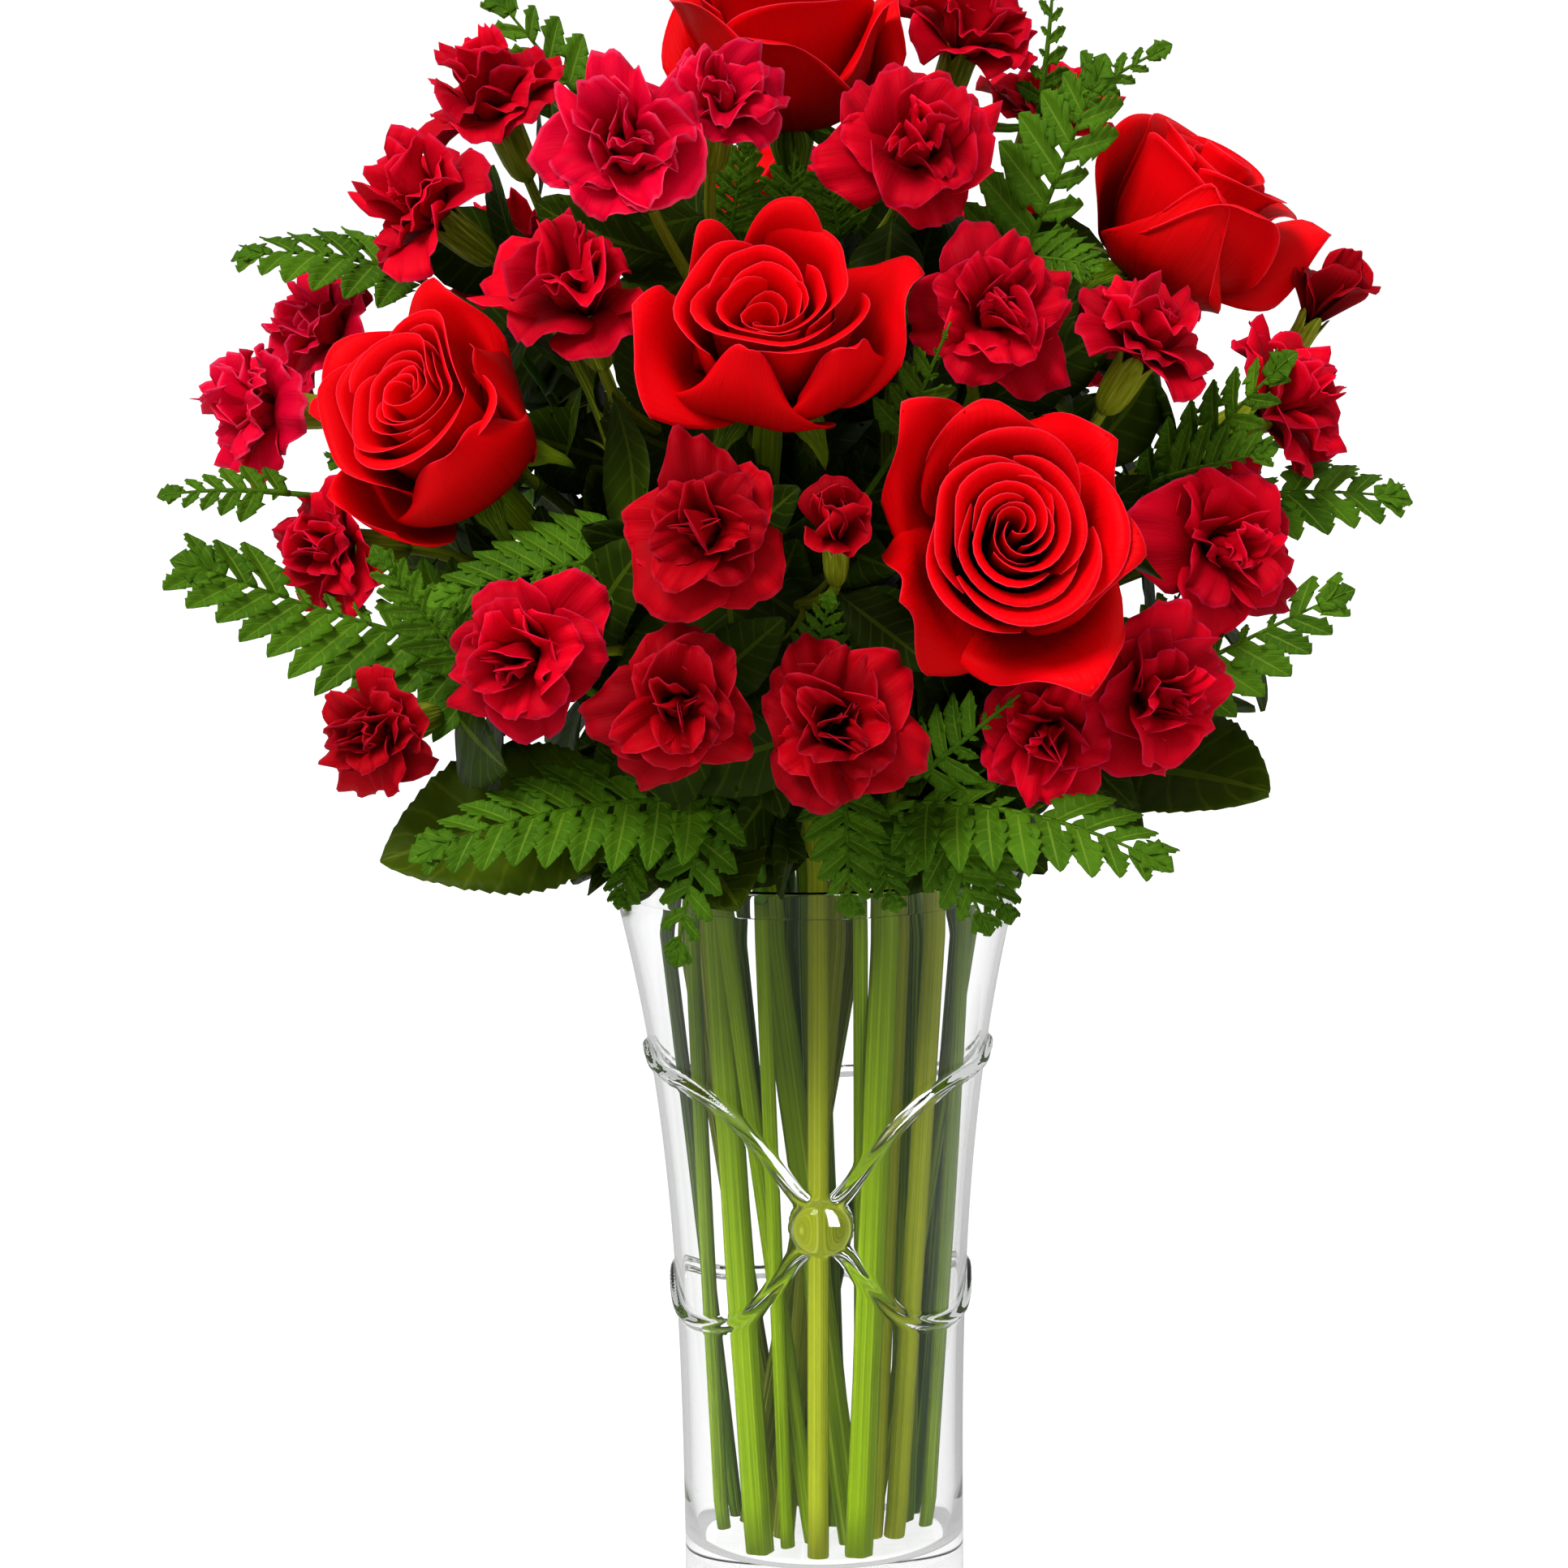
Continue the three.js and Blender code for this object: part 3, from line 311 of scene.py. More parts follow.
def fill(inputs, values):
    """Each input by its label: a signal is linked to it, a number or a colour is set on it."""
    for label, value in values.items():
        socket = inputs[label]
        if isinstance(value, Signal):
            socket.id_data.links.new(value.socket, socket)
        else:
            socket.default_value = (*value, 1) if isinstance(value, tuple) else value


def made_node(tree, kind, output, values, **settings):
    """A new node with its settings and inputs, as the signal of one of its outputs."""
    node = tree.nodes.new("ShaderNode" + kind)
    for label, value in settings.items():
        setattr(node, label, value)
    fill(node.inputs, values)
    return Signal(node.outputs[output])


def tree_of(*values):
    """The tree of the first signal among some values."""
    return next(value for value in values if isinstance(value, Signal)).socket.id_data


def maths(operation, a, b=0.0):
    """A Math node on two signals or numbers."""
    return made_node(tree_of(a, b), "Math", 0, {0: a, 1: b}, operation=operation)


def mixed(kind, factor, a, b):
    """Two colours blended by a factor."""
    values = {0: factor, 6: a, 7: b}
    return made_node(tree_of(factor, a, b), "Mix", 2, values, data_type="RGBA", blend_type=kind)


def noise(coordinates, scale, detail):
    """Noise of so many grains to a unit of the coordinates."""
    values = {"Vector": coordinates, "Scale": scale, "Detail": detail}
    return made_node(tree_of(coordinates), "TexNoise", "Fac", values)


def smooth_step(value, low, high):
    """0 below low, 1 above high, and an even S curve between them."""
    values = {"Value": value, "From Min": low, "From Max": high}
    return made_node(tree_of(value), "MapRange", "Result", values, interpolation_type="SMOOTHSTEP")


def bump(height, distance, strength):
    """The surface's direction after a relief of this height."""
    values = {"Height": height, "Distance": distance, "Strength": strength}
    return made_node(tree_of(height), "Bump", "Normal", values)


def vector(x, y, z):
    """Three signals as one set of coordinates."""
    return made_node(tree_of(x, y, z), "CombineXYZ", 0, {0: x, 1: y, 2: z})


def ramp(factor, stops):
    """A colour ramp with (place, red, green, blue) stops."""
    colour = made_node(tree_of(factor), "ValToRGB", "Color", {"Fac": factor})
    elements = colour.socket.node.color_ramp.elements
    while len(elements) < len(stops):
        elements.new(0.5)
    for element, (place, *rgb) in zip(elements, stops):
        element.position = place
        element.color = (*rgb, 1)
    return colour


# %% Petal, leaf and stem finishes
RELIEF_DEPTH = {"petal": 0.0006, "leaf": 0.0005, "stem": 0.0006}
GLOSS = {"petal": 0.04, "leaf": 0.06, "stem": 0.08}


def new_material(name):
    """An empty node material with its node tree and its Principled shader."""
    material = bpy.data.materials.new(name)
    material.use_nodes = True
    return material, material.node_tree, material.node_tree.nodes["Principled BSDF"]


def places_on(tree):
    """Along, across and tone of the surface, and its object coordinates."""
    marks = [made_node(tree, "Attribute", "Fac", {}, attribute_name=label) for label in MARKS]
    return *marks, made_node(tree, "TexCoord", "Object", {})


def painted(shader, kind, colour, height, relief, roughness):
    """Colour and relief linked to the shader, roughness and specular level set on it."""
    fill(shader.inputs, {"Base Color": colour, "Normal": bump(height, RELIEF_DEPTH[kind], relief),
                         "Roughness": roughness, "Specular IOR Level": GLOSS[kind]})


def petal_finish(name, stops, darkest, roughness):
    """Colour by the place along the petal, shifted by running veins, times a shade by its tone.

    The heart is painted dark as shade and the edge pale as a painted highlight.
    """
    material, tree, shader = new_material(name)
    along, side, tone, at = places_on(tree)
    veins = noise(vector(side * 9, along * 1.6, tone * 40), 2.2, 3)
    colour = ramp(along + (veins - 0.5) * ((1 - along) * 0.4), stops)
    shade = ramp(tone * 0.7 + noise(at, 60, 3) * 0.3, [(0.1, *darkest), (0.9, 1.0, 1.0, 1.0)])
    painted(shader, "petal", mixed("MULTIPLY", 1.0, colour, shade), veins, 0.5, roughness)
    return material


def leaf_finish(name, dark, light, rib, veins, roughness):
    """Two greens mixed by mottle and tone, a pale midrib, and side veins that run forwards.

    A side vein is a high power of a sine that repeats along the leaf and lags behind away from
    the midrib; the midrib is where across is near 0.
    """
    material, tree, shader = new_material(name)
    along, side, tone, at = places_on(tree)
    off = maths("ABSOLUTE", side)
    wave = maths("SINE", (along - off * 0.16) * (TURN * veins))
    line = maths("POWER", (wave + 1) * 0.5, 14)
    vein = maths("MAXIMUM", line * 0.45, maths("LESS_THAN", off, 0.07)).clamped()
    mottle = noise(at, 140, 3)
    green = mixed("MIX", (mottle * 0.7 + tone * 0.5).clamped(), dark, light)
    painted(shader, "leaf", mixed("MIX", vein * 0.6, green, rib), vein * -1 + mottle, 0.6, roughness)
    return material


def stem_finish(name, dark, light, streak, roughness):
    """Streaks drawn out along the stem, a slow change of green along it, and a ribbed surface.

    The streaks are noise on a circle round the stem, so they meet at the seam.
    """
    material, tree, shader = new_material(name)
    along, around, tone, at = places_on(tree)
    turn = around * math.pi
    ring = vector(maths("SINE", turn) * 3, maths("COSINE", turn) * 3, along * 2 + tone * 30)
    streaks = noise(ring, 2, 4)
    shade = smooth_step(streaks, 0.34, 0.5) * 0.5
    mix = ((noise(at, 25, 2) - 0.5) * 0.9 + (tone + (shade - 0.35))).clamped()
    pale = smooth_step(streaks, 0.52, 0.68) * 0.7
    green = mixed("MIX", mix, dark, light)
    painted(shader, "stem", mixed("MIX", pale, green, streak), streaks, 0.6, roughness)
    return material


# %% Colours of this bouquet
# A petal's stops run from the heart, at 0, to its edge, at 1: the dark stops at the heart are painted
# shade, the pale last stop at the edge a painted highlight. The colour after them is the shade that
# the darkest petal of a bloom is multiplied by.
ROSE_RED = petal_finish("rose_petal", [
    (0, 0.03, 0.0, 0.0), (0.35, 0.3, 0.0, 0.0), (0.75, 0.76, 0.0, 0.002), (0.99, 0.88, 0.0, 0.004),
    (1, 0.93, 0.03, 0.06)], (0.76, 0.66, 0.66), 0.55)
CARNATION_RED = petal_finish("carnation_petal", [
    (0, 0.05, 0.0, 0.001), (0.4, 0.42, 0.0, 0.006), (0.96, 0.78, 0.0, 0.014), (1, 0.88, 0.012, 0.06)],
    (0.52, 0.6, 0.66), 0.6)
# A darker red: the buds' own deeper colour, and painted shade on the low blooms in front.
CARNATION_DEEP_BUD_AND_SHADE = petal_finish("carnation_petal_deep", [
    (0, 0.04, 0.0, 0.0), (0.4, 0.28, 0.0, 0.002), (0.96, 0.52, 0.0, 0.006), (1, 0.62, 0.01, 0.03)],
    (0.5, 0.6, 0.66), 0.6)
CARNATION_PINK = petal_finish("carnation_petal_pink", [
    (0, 0.1, 0.0, 0.004), (0.4, 0.54, 0.0, 0.016), (0.95, 0.8, 0.0, 0.03), (1, 0.93, 0.04, 0.12)],
    (0.68, 0.7, 0.76), 0.6)
# Leaves and stems: dark green, light green, the colour of ribs or streaks.
FERN_GREEN = leaf_finish("fern", (0.014, 0.05, 0.001), (0.075, 0.19, 0.005), (0.16, 0.28, 0.02), 6, 0.6)
COLLAR_GREEN = leaf_finish(
    "collar_leaf", (0.012, 0.024, 0.0003), (0.05, 0.085, 0.0008), (0.12, 0.17, 0.008), 9, 0.5)
# The leaves inside the bouquet are a near-black green, darker than the leaves outside: painted shade.
INNER_LEAF_SHADE_GREEN = leaf_finish(
    "broad_leaf", (0.005, 0.013, 0.0002), (0.024, 0.046, 0.0004), (0.07, 0.11, 0.004), 9, 0.5)
ROSE_STEM = stem_finish("rose_stem", (0.015, 0.06, 0.0), (0.15, 0.25, 0.001), (0.3, 0.4, 0.02), 0.55)
CALYX_GREEN = stem_finish("carnation_stem", (0.07, 0.11, 0.001), (0.24, 0.28, 0.008), (0.38, 0.43, 0.05), 0.6)
print("finishes:", len(bpy.data.materials))

# %% [markdown]
# The vase is thick clear glass that flares to the rim, with two raised threads that cross at a
# glass gem in front. Threads and gem are of one melt with the wall, so they are raised from the
# outer surface by formula instead of being laid on it: a separate tube would show a false seam
# inside the glass. Rows of the grid are packed where the threads run.

# %% The vase
VASE = {"height": 222, "foot": 42, "flare": 20, "power": 3, "wall": 3.4, "floor": 15, "lip": 1.2, "fillet": 4}
WATER_TOP = 213
MOUTH = 216
THREAD_RADIUS = 2.2
GEM = {"height": 120.5, "radius": 9, "proud": 7.0}
# Half of each thread, from the front to the back: degrees round the vase, and height.
UPPER_THREAD = [
    [0, 125], [8, 130], [15, 137], [22, 144.5], [30, 151], [40, 156.5], [54, 160.5], [75, 162], [92, 166],
    [108, 160], [130, 152], [180, 148]]
LOWER_THREAD = [
    [0, 116], [9, 111.5], [15, 105], [22, 98.5], [30, 92.5], [40, 88.5], [54, 86.5], [72, 86.5], [85, 90.5],
    [98, 97], [115, 94.5], [140, 88.5], [180, 86]]
THREADED = (82, 171)
AROUND = 320
ROWS_AT_ONCE = 40


def vase_radius(z):
    """Foot radius plus the flare times the height share to a power."""
    return VASE["foot"] + VASE["flare"] * (np.maximum(z, 0) / VASE["height"]) ** VASE["power"]


def spline(knots, samples):
    """A Catmull-Rom line through knots, the same number of samples between each two."""
    knots = np.asarray(knots, float)
    ends = np.concatenate([2 * knots[:1] - knots[1:2], knots, 2 * knots[-1:] - knots[-2:-1]])
    t = np.linspace(0, 1, samples, endpoint=False)[:, None]
    spans = []
    for p0, p1, p2, p3 in zip(ends, ends[1:], ends[2:], ends[3:]):
        spans.append(0.5 * (2 * p1 + (p2 - p0) * t + (2 * p0 - 5 * p1 + 4 * p2 - p3) * t ** 2
                            + (3 * p1 - p0 - 3 * p2 + p3) * t ** 3))
    return np.concatenate([*spans, knots[-1:]])


def thread_height(distance, radius):
    """A low round bead on the glass whose foot runs out smoothly into the wall."""
    return 0.85 * radius * np.clip(1 - (distance / radius) ** 2, 0, 1) ** 1.2


def glass_relief(turn, z):
    """How far the outer wall stands out at a turn from the front, in radians, and a height.

    Along a thread it is the bead at the distance to the nearest point of the thread's line; at
    the gem it is part of a flattened ball. The distances are worked out some rows at a time.
    """
    arc = turn * vase_radius(z)
    height = np.zeros_like(arc)
    for knots in (UPPER_THREAD, LOWER_THREAD):
        line = spline(knots, 14)
        line = np.concatenate([line[::-1] * [-1, 1], line[1:]])
        x = np.radians(line[:, 0]) * vase_radius(line[:, 1])
        for start in range(0, len(arc), ROWS_AT_ONCE):
            part = slice(start, start + ROWS_AT_ONCE)
            gap = np.hypot(arc[part, :, None] - x, z[part, :, None] - line[:, 1]).min(axis=-1)
            height[part] = np.maximum(height[part], thread_height(gap, THREAD_RADIUS))
    gem = np.hypot(arc, z - GEM["height"]) / GEM["radius"]
    return np.maximum(height, GEM["proud"] * np.clip(1 - gem ** 2, 0, 1) ** 0.5)


def turns_round():
    """Turns from the front, in radians, packed closer there, where the gem and threads meet."""
    even = TURN * np.arange(AROUND) / AROUND - math.pi
    return even - 0.6 * np.sin(even)


def lathe(outline):
    """Rings from an outline of radius and height turned round the vertical axis."""
    r, z = np.asarray(outline, float).T
    angle = turns_round() - math.pi / 2
    height = np.repeat(z[:, None], AROUND, 1)
    return np.stack([r[:, None] * np.cos(angle), r[:, None] * np.sin(angle), height], -1)


def plain(points, faces):
    """A part whose finish reads no attribute."""
    nothing = np.zeros(len(points))
    return points, faces, nothing, nothing, nothing


def vase_part():
    """Outer wall with its relief, a rounded rim, the inner wall and the thick floor, as one skin."""
    lip, wall, top, floor, fillet = (VASE[key] for key in ("lip", "wall", "height", "floor", "fillet"))
    low, high = THREADED
    below, above = np.linspace(lip, low - 2, 10), np.linspace(high + 4, top - lip, 10)
    heights = np.r_[below, np.linspace(low, high, 130), above]
    grid_turn, grid_z = np.meshgrid(turns_round(), heights)
    radius = vase_radius(grid_z) + glass_relief(grid_turn, grid_z)
    angle = grid_turn - math.pi / 2
    outer = np.stack([radius * np.cos(angle), radius * np.sin(angle), grid_z], -1)
    quarter = np.linspace(0, math.pi / 2, 4)
    foot = [(0, 0), (VASE["foot"] * 0.5, 0)]
    foot += [(VASE["foot"] - lip + lip * math.sin(a), lip - lip * math.cos(a)) for a in quarter[:-1]]
    half = wall / 2
    middle = vase_radius(top) - half
    rim = [(middle + half * math.cos(a), top - lip + lip * math.sin(a)) for a in quarter[1:]]
    rim += [(middle - half * math.sin(a), top - lip + lip * math.cos(a)) for a in quarter[1:]]
    inside = [(vase_radius(z) - wall, z) for z in np.linspace(top - 2 * lip, floor + fillet, 16)]
    corner = vase_radius(floor) - wall - fillet
    inside += [(corner + fillet * math.cos(a), floor + fillet * (1 - math.sin(a))) for a in quarter[1:]]
    inside += [(corner * 0.5, floor), (0, floor)]
    return plain(*ring_skin(np.concatenate([lathe(foot), outer, lathe(rim + inside)])))


# %% Clear glass and water
def light_path(tree, *labels):
    """Signals that say what kind of light ray asks for the finish, and how often it has turned."""
    outputs = tree.nodes.new("ShaderNodeLightPath").outputs
    return [Signal(outputs[label]) for label in labels]


def clear_finish(name, ior, tint):
    """Clear glass or water. Shadow rays and long paths pass straight through, so no part goes black."""
    material, tree, shader = new_material(name)
    fill(shader.inputs, {"Base Color": tint, "Roughness": 0.0, "IOR": ior, "Transmission Weight": 1.0,
                         "Specular Tint": (0.25, 0.25, 0.25)})
    shadow, depth = light_path(tree, "Is Shadow Ray", "Ray Depth")
    straight = maths("MAXIMUM", shadow, maths("GREATER_THAN", depth, 9))
    glassy, clear = Signal(shader.outputs["BSDF"]), made_node(tree, "BsdfTransparent", "BSDF", {})
    surface = made_node(tree, "MixShader", "Shader", {"Fac": straight, 1: glassy, 2: clear})
    fill(tree.nodes["Material Output"].inputs, {"Surface": surface})
    return material


GLASS = clear_finish("vase_glass", 1.47, (1.0, 1.0, 1.0))
WATER = clear_finish("water", 1.03, (0.99, 1.0, 0.99))
vase = piece("clear_vase", vase_part(), GLASS, "vase_glass", "vase", merge=True)
print("faces of the vase:", len(vase.data.polygons))

# %% [markdown]
# Water fills the vase to a finger's width below the rim. Its skin is drawn a hair inside the glass
# wall, because a gap would trap a film of air that mirrors everything. At the wall the surface
# climbs a millimetre, as water does on clean glass. It bends light far less than real water, since
# the stems in the picture run on without a break.

# %% The water
INTO_GLASS = 0.08
CLIMB = 1.1


def water_part():
    """A plug that follows the inner wall, with a small climb at the rim of its surface."""
    wall, floor, fillet = (VASE[key] for key in ("wall", "floor", "fillet"))
    corner = vase_radius(floor) - wall - fillet
    bend = fillet + INTO_GLASS
    outline = [(0, floor - INTO_GLASS), (corner, floor - INTO_GLASS)]
    outline += [(corner + bend * math.sin(a), floor + fillet - bend * math.cos(a))
                for a in np.linspace(0, math.pi / 2, 5)[1:-1]]
    heights = np.linspace(floor + fillet, WATER_TOP + 1, 24)
    outline += [(vase_radius(z) - wall + INTO_GLASS, z) for z in heights]
    edge = vase_radius(WATER_TOP) - wall
    outline += [(edge - away, WATER_TOP + math.exp(-away / CLIMB)) for away in (0.4, 1, 2, 3.5, 6, 20)]
    return plain(*ring_skin(lathe(outline + [(0, WATER_TOP)])))


water = piece("water_in_vase", water_part(), WATER, "water", "water", merge=True)
print("faces of the water:", len(water.data.polygons))

# %% [markdown]
# Stems stand on the floor of the vase and leave at the mouth, then bend out to their blooms. Each
# line is the one the solids follow: straight to the mouth, then a cubic curve that leaves along
# the stem and arrives along the bloom's axis.

# %% Where the stems stand
STEM = {"rose": 4.0, "spray": 3.1, "shoot": 1.9, "pedicel": 1.5, "leafy": 2.3, "fern": 1.9, "stalk": 1.2}
SIDES = {"rose": 20, "spray": 12, "shoot": 10, "standing": 12, "leafy": 10, "fern": 10, "thin": 6}
STANDING = VASE["floor"] + 1
# For each stem its place at the mouth and its foot; for a spray also its flowers, each with its
# number in the bloom's list and the share of the stem at which its shoot leaves.
ROSE_STEMS = {
    "front": ([-15, -17.5], [8, -15]),
    "left": ([-29, -30], [-19, -23.5]),
    "low_right": ([19.5, -35], [9.5, -27.5]),
    "right": ([29.5, 4], [22.5, 7]),
    "top": ([-2, 1], [3.5, 5]),
    "back": ([-10.5, 27.5], [6, 23.5]),
}
SPRAYS = {
    "upper_left": ([-39, -3], [-11.5, 20], [
        ("upper_left", 0, None), ("top_left", 0, 0.62), ("left_high", 0, 0.45), ("left_far", 0, 0.34),
        ("back_left", 0, 0.5), ("back_left", 1, 0.4)]),
    "top": ([7, -5], [-12, -9.5], [
        ("top_pale", 0, None), ("top_pink", 0, 0.6), ("over_left_rose", 0, 0.45),
        ("under_top_rose", 0, 0.55)]),
    "upper_right": ([14.5, 16.5], [-22, 6.5], [
        ("top_right", 0, None), ("behind_right", 0, 0.55), ("back_right", 0, 0.42), ("back_right", 1, 0.34),
        ("back_low", 0, 0.2), ("back_low", 1, 0.12)]),
    "right": ([24, -24.5], [14, -10], [
        ("over_low_rose", 0, None), ("middle_right", 0, 0.55), ("far_right", 0, 0.4), ("bud_right", 0, 0.5),
        ("low_far_right", 0, 0.3)]),
    "front": ([0.5, -31], [-2, -29], [
        ("front_middle", 0, None), ("bud_front", 0, 0.6), ("low_left", 0, 0.3), ("low_middle", 0, 0.24),
        ("front_left", 0, 0.4)]),
    "low_left": ([-32, -15.5], [-17, -2.5], [("left_low", 0, None), ("bottom_left", 0, 0.35)]),
    "low_right": ([34, -30.5], [20.5, -10], [("bottom_right", 1, None), ("bottom_right", 0, 0.45)]),
}


def on_mouth(place):
    """A place in the plane of the vase's mouth."""
    return np.array([*place, MOUTH], float)


def on_floor(place):
    """A place on the vase's floor."""
    return np.array([*place, STANDING], float)


def lit(foot, mouth):
    """A stem's tone: those in front catch the light, those behind are dark."""
    return float(np.clip(0.45 - (foot[1] + mouth[1]) / 90, 0.05, 0.95))


print("stems:", len(ROSE_STEMS) + len(SPRAYS))

# %% Stem lines
BEND = {"leaving": 0.36, "arriving": 0.34}


def bezier(points, count):
    """A Bezier curve of four control points, at evenly spaced parameters."""
    t = np.linspace(0, 1, count)[:, None]
    p = [np.asarray(q, float) for q in points]
    return (1 - t) ** 3 * p[0] + 3 * t * (1 - t) ** 2 * p[1] + 3 * t ** 2 * (1 - t) * p[2] + t ** 3 * p[3]


def bent(start, leaving, end, arrival, count):
    """The bend of a stem: pulled along its leaving and arriving directions, over its reach."""
    reach = np.linalg.norm(end - start)
    pulls = [start + BEND["leaving"] * reach * leaving, end - BEND["arriving"] * reach * arrival]
    return bezier([start, *pulls, end], count)


def stem_line(foot, mouth, end, arrival, count=26):
    """Straight from foot to mouth, then bent to the end. Returns the wet and the dry stretch."""
    straight = foot + (mouth - foot) * np.linspace(0, 1, 12)[:, None]
    return straight, bent(mouth, unit(mouth - foot), end, arrival, count)


def point_at(line, share):
    """The point at a share of a line's length, and the direction there, from half a mm each way."""
    length = np.r_[0, np.cumsum(np.linalg.norm(np.diff(line, axis=0), axis=1))]
    at = share * length[-1]
    places = [np.interp([at - 0.5, at, at + 0.5], length, line[:, k]) for k in range(3)]
    low, middle, high = np.array(places).T
    return middle, unit(high - low)


def any_way_from(axis, draw):
    """A drawn direction square to an axis."""
    side, other = across(axis)
    turn = TURN * draw.random()
    return side * math.cos(turn) + other * math.sin(turn)


# %% [markdown]
# A rose stem ends in a small hip, and five leafy sepals fold back from it as the bloom opens.
# Thorns sit on the stem, hooked down. They are small sheets and cones, so all of it is one piece.

# %% Sepals and thorns
rng = np.random.default_rng(8)
HIP = {"length": 13, "radius": 6.2, "waist": 0.8}


def round_bloom(angle, bloom):
    """Directions square to a bloom's axis, at each angle round it."""
    return np.cos(angle)[..., None] * bloom["side"] + np.sin(angle)[..., None] * bloom["other"]


def sepals(bloom, count=5):
    """Narrow blades from the rim of the hip: out, then down, with a long drawn tip."""
    radius = bloom["radius"]
    v = np.linspace(0, 1, 12)[None, :, None]
    u = np.linspace(-1, 1, 5)[None, None, :]
    length = radius * (0.62 + 0.08 * rng.random((count, 1, 1)))
    out = 0.1 * radius + length * np.sin(1.5 * v) * 0.8
    down = -0.06 * radius + length * (0.12 * v + 0.4 * v ** 2.2)
    half = radius * 0.13 * np.sin(np.pi * (0.16 + 0.84 * v) ** 0.8) ** 0.9 * (1 - 0.3 * v) + 0.15
    half = half * (1 + 0.16 * np.abs(u) * np.sin(16 * v))
    er = round_bloom(TURN * np.arange(count) / count + 0.3, bloom)
    et = np.cross(bloom["axis"], er)
    cup = 0.25 * half * u ** 2
    grid = (bloom["seat"] + out[..., None] * er[:, None, None] + (half * u)[..., None] * et[:, None, None]
            - (down - cup)[..., None] * bloom["axis"])
    return sheets(grid, THICK["sepal"], rng.random(count))


def thorns(line, radius, count):
    """Hooked cones on the dry stretch of a stem: outwards, along the stem, and how thick there."""
    hook = np.array([[0.5, 0, 0], [1.6, 0.2, 0.9], [2.6, 0.1, 0.45], [3.4, -0.5, 0.05]])
    made = []
    for share in np.linspace(0.15, 0.85, count):
        at, along = point_at(line, share)
        out = any_way_from(along, rng)
        points = at + (radius - 1) * out + hook[:, :1] * out + hook[:, 1:2] * along
        made.append(tube(points, hook[:, 2] + 0.05, SIDES["thin"], 0.9))
    return made


# %% Rose stems with their hips
stem_lines = {}


def rose_stem_part(name, bloom):
    """A ribbed tube from the floor to the neck, widened to the hip, with sepals and thorns.

    The hip's radius rises from the stem's by an S curve and falls a little towards the seat.
    """
    mouth, foot = ROSE_STEMS[name]
    neck = bloom["seat"] - HIP["length"] * bloom["axis"]
    wet, dry = stem_line(on_floor(foot), on_mouth(mouth), neck, bloom["axis"])
    stem_lines["rose_" + name] = dry
    ups = np.linspace(0.5, HIP["length"] + 3, 9)
    swelling = (HIP["radius"] - STEM["rose"]) * smooth(ups, 0, 8)
    hip_radii = STEM["rose"] + swelling - HIP["waist"] * smooth(ups, 8, 14)
    line = np.concatenate([wet, dry[1:], neck + ups[:, None] * bloom["axis"]])
    radii = np.r_[np.full(len(wet) + len(dry) - 1, STEM["rose"]), hip_radii]
    radii = radii * (1 + 0.03 * np.sin(np.arange(len(radii)) * 1.7))
    stem = tube(line, radii, SIDES["rose"], lit(foot, mouth), ribs(5, 0.07, SIDES["rose"]))
    return gathered([stem, sepals(bloom), *thorns(dry, STEM["rose"], 4)])


for name, bloom in roses.items():
    part = rose_stem_part(name, bloom)
    piece("rose_stem_and_hip_" + name, part, ROSE_STEM, "rose_stem", "rose_stem_" + name, merge=True)
print("rose stems:", len(stem_lines))

# %% [markdown]
# A spray of mini carnations is one stem with side shoots. Each flower sits in a waxy tube, the
# calyx, whose rim ends in five teeth. At each joint the stem swells and a pair of narrow leaves
# curls away. The calyx is a ring skin whose rim rises and falls five times round, and goes on down
# inside, so its wall is closed.

# %% Calyx
CALYX_LENGTH = 19
# Radius and height of the outside from the foot up; then the toothed rim, outside and inside, as
# radius, height and how high its teeth stand; then how wide and how deep the inside is.
CALYX_OUTSIDE = [(1.6, -0.5), (3.2, 1), (4.2, 3), (4.9, 7), (5.2, 12), (5.3, 16), (5.5, 18)]
CALYX_RIM = [(5.6, 18, 5.2), (5.1, 17.8, 5.0)]
CALYX_INSIDE = (4.6, 15.0)


def calyx_foot(bloom):
    """The place where a bloom's calyx meets its stem."""
    return bloom["seat"] - CALYX_LENGTH * bloom["axis"]


def calyx_part(bloom, tone, sides=30):
    """A tube from the foot to the seat, swelling, with five teeth round the petals, closed inside."""
    scale = min(1.0, bloom["radius"] / CARNATION_RADIUS + 0.25)
    angle = TURN * np.arange(sides) / sides
    tooth = np.abs(np.cos(2.5 * angle)) ** 0.8
    rings = [(0.0, -0.5), *((r * scale, up) for r, up in CALYX_OUTSIDE)]
    rings += [((r + 0.9 * tooth) * scale, up + teeth * tooth) for r, up, teeth in CALYX_RIM]
    rings += [(CALYX_INSIDE[0] * scale, CALYX_INSIDE[1]), (0.0, CALYX_INSIDE[1])]
    rings = np.array([np.stack(np.broadcast_arrays(r, up, angle)[:2], -1) for r, up in rings])
    rings[1:-1, :, 0] *= 1 + 0.02 * np.cos(15 * angle)
    around, axis = round_bloom(angle, bloom), bloom["axis"]
    return tagged_rings(calyx_foot(bloom) + rings[..., :1] * around + rings[..., 1:] * axis, tone)


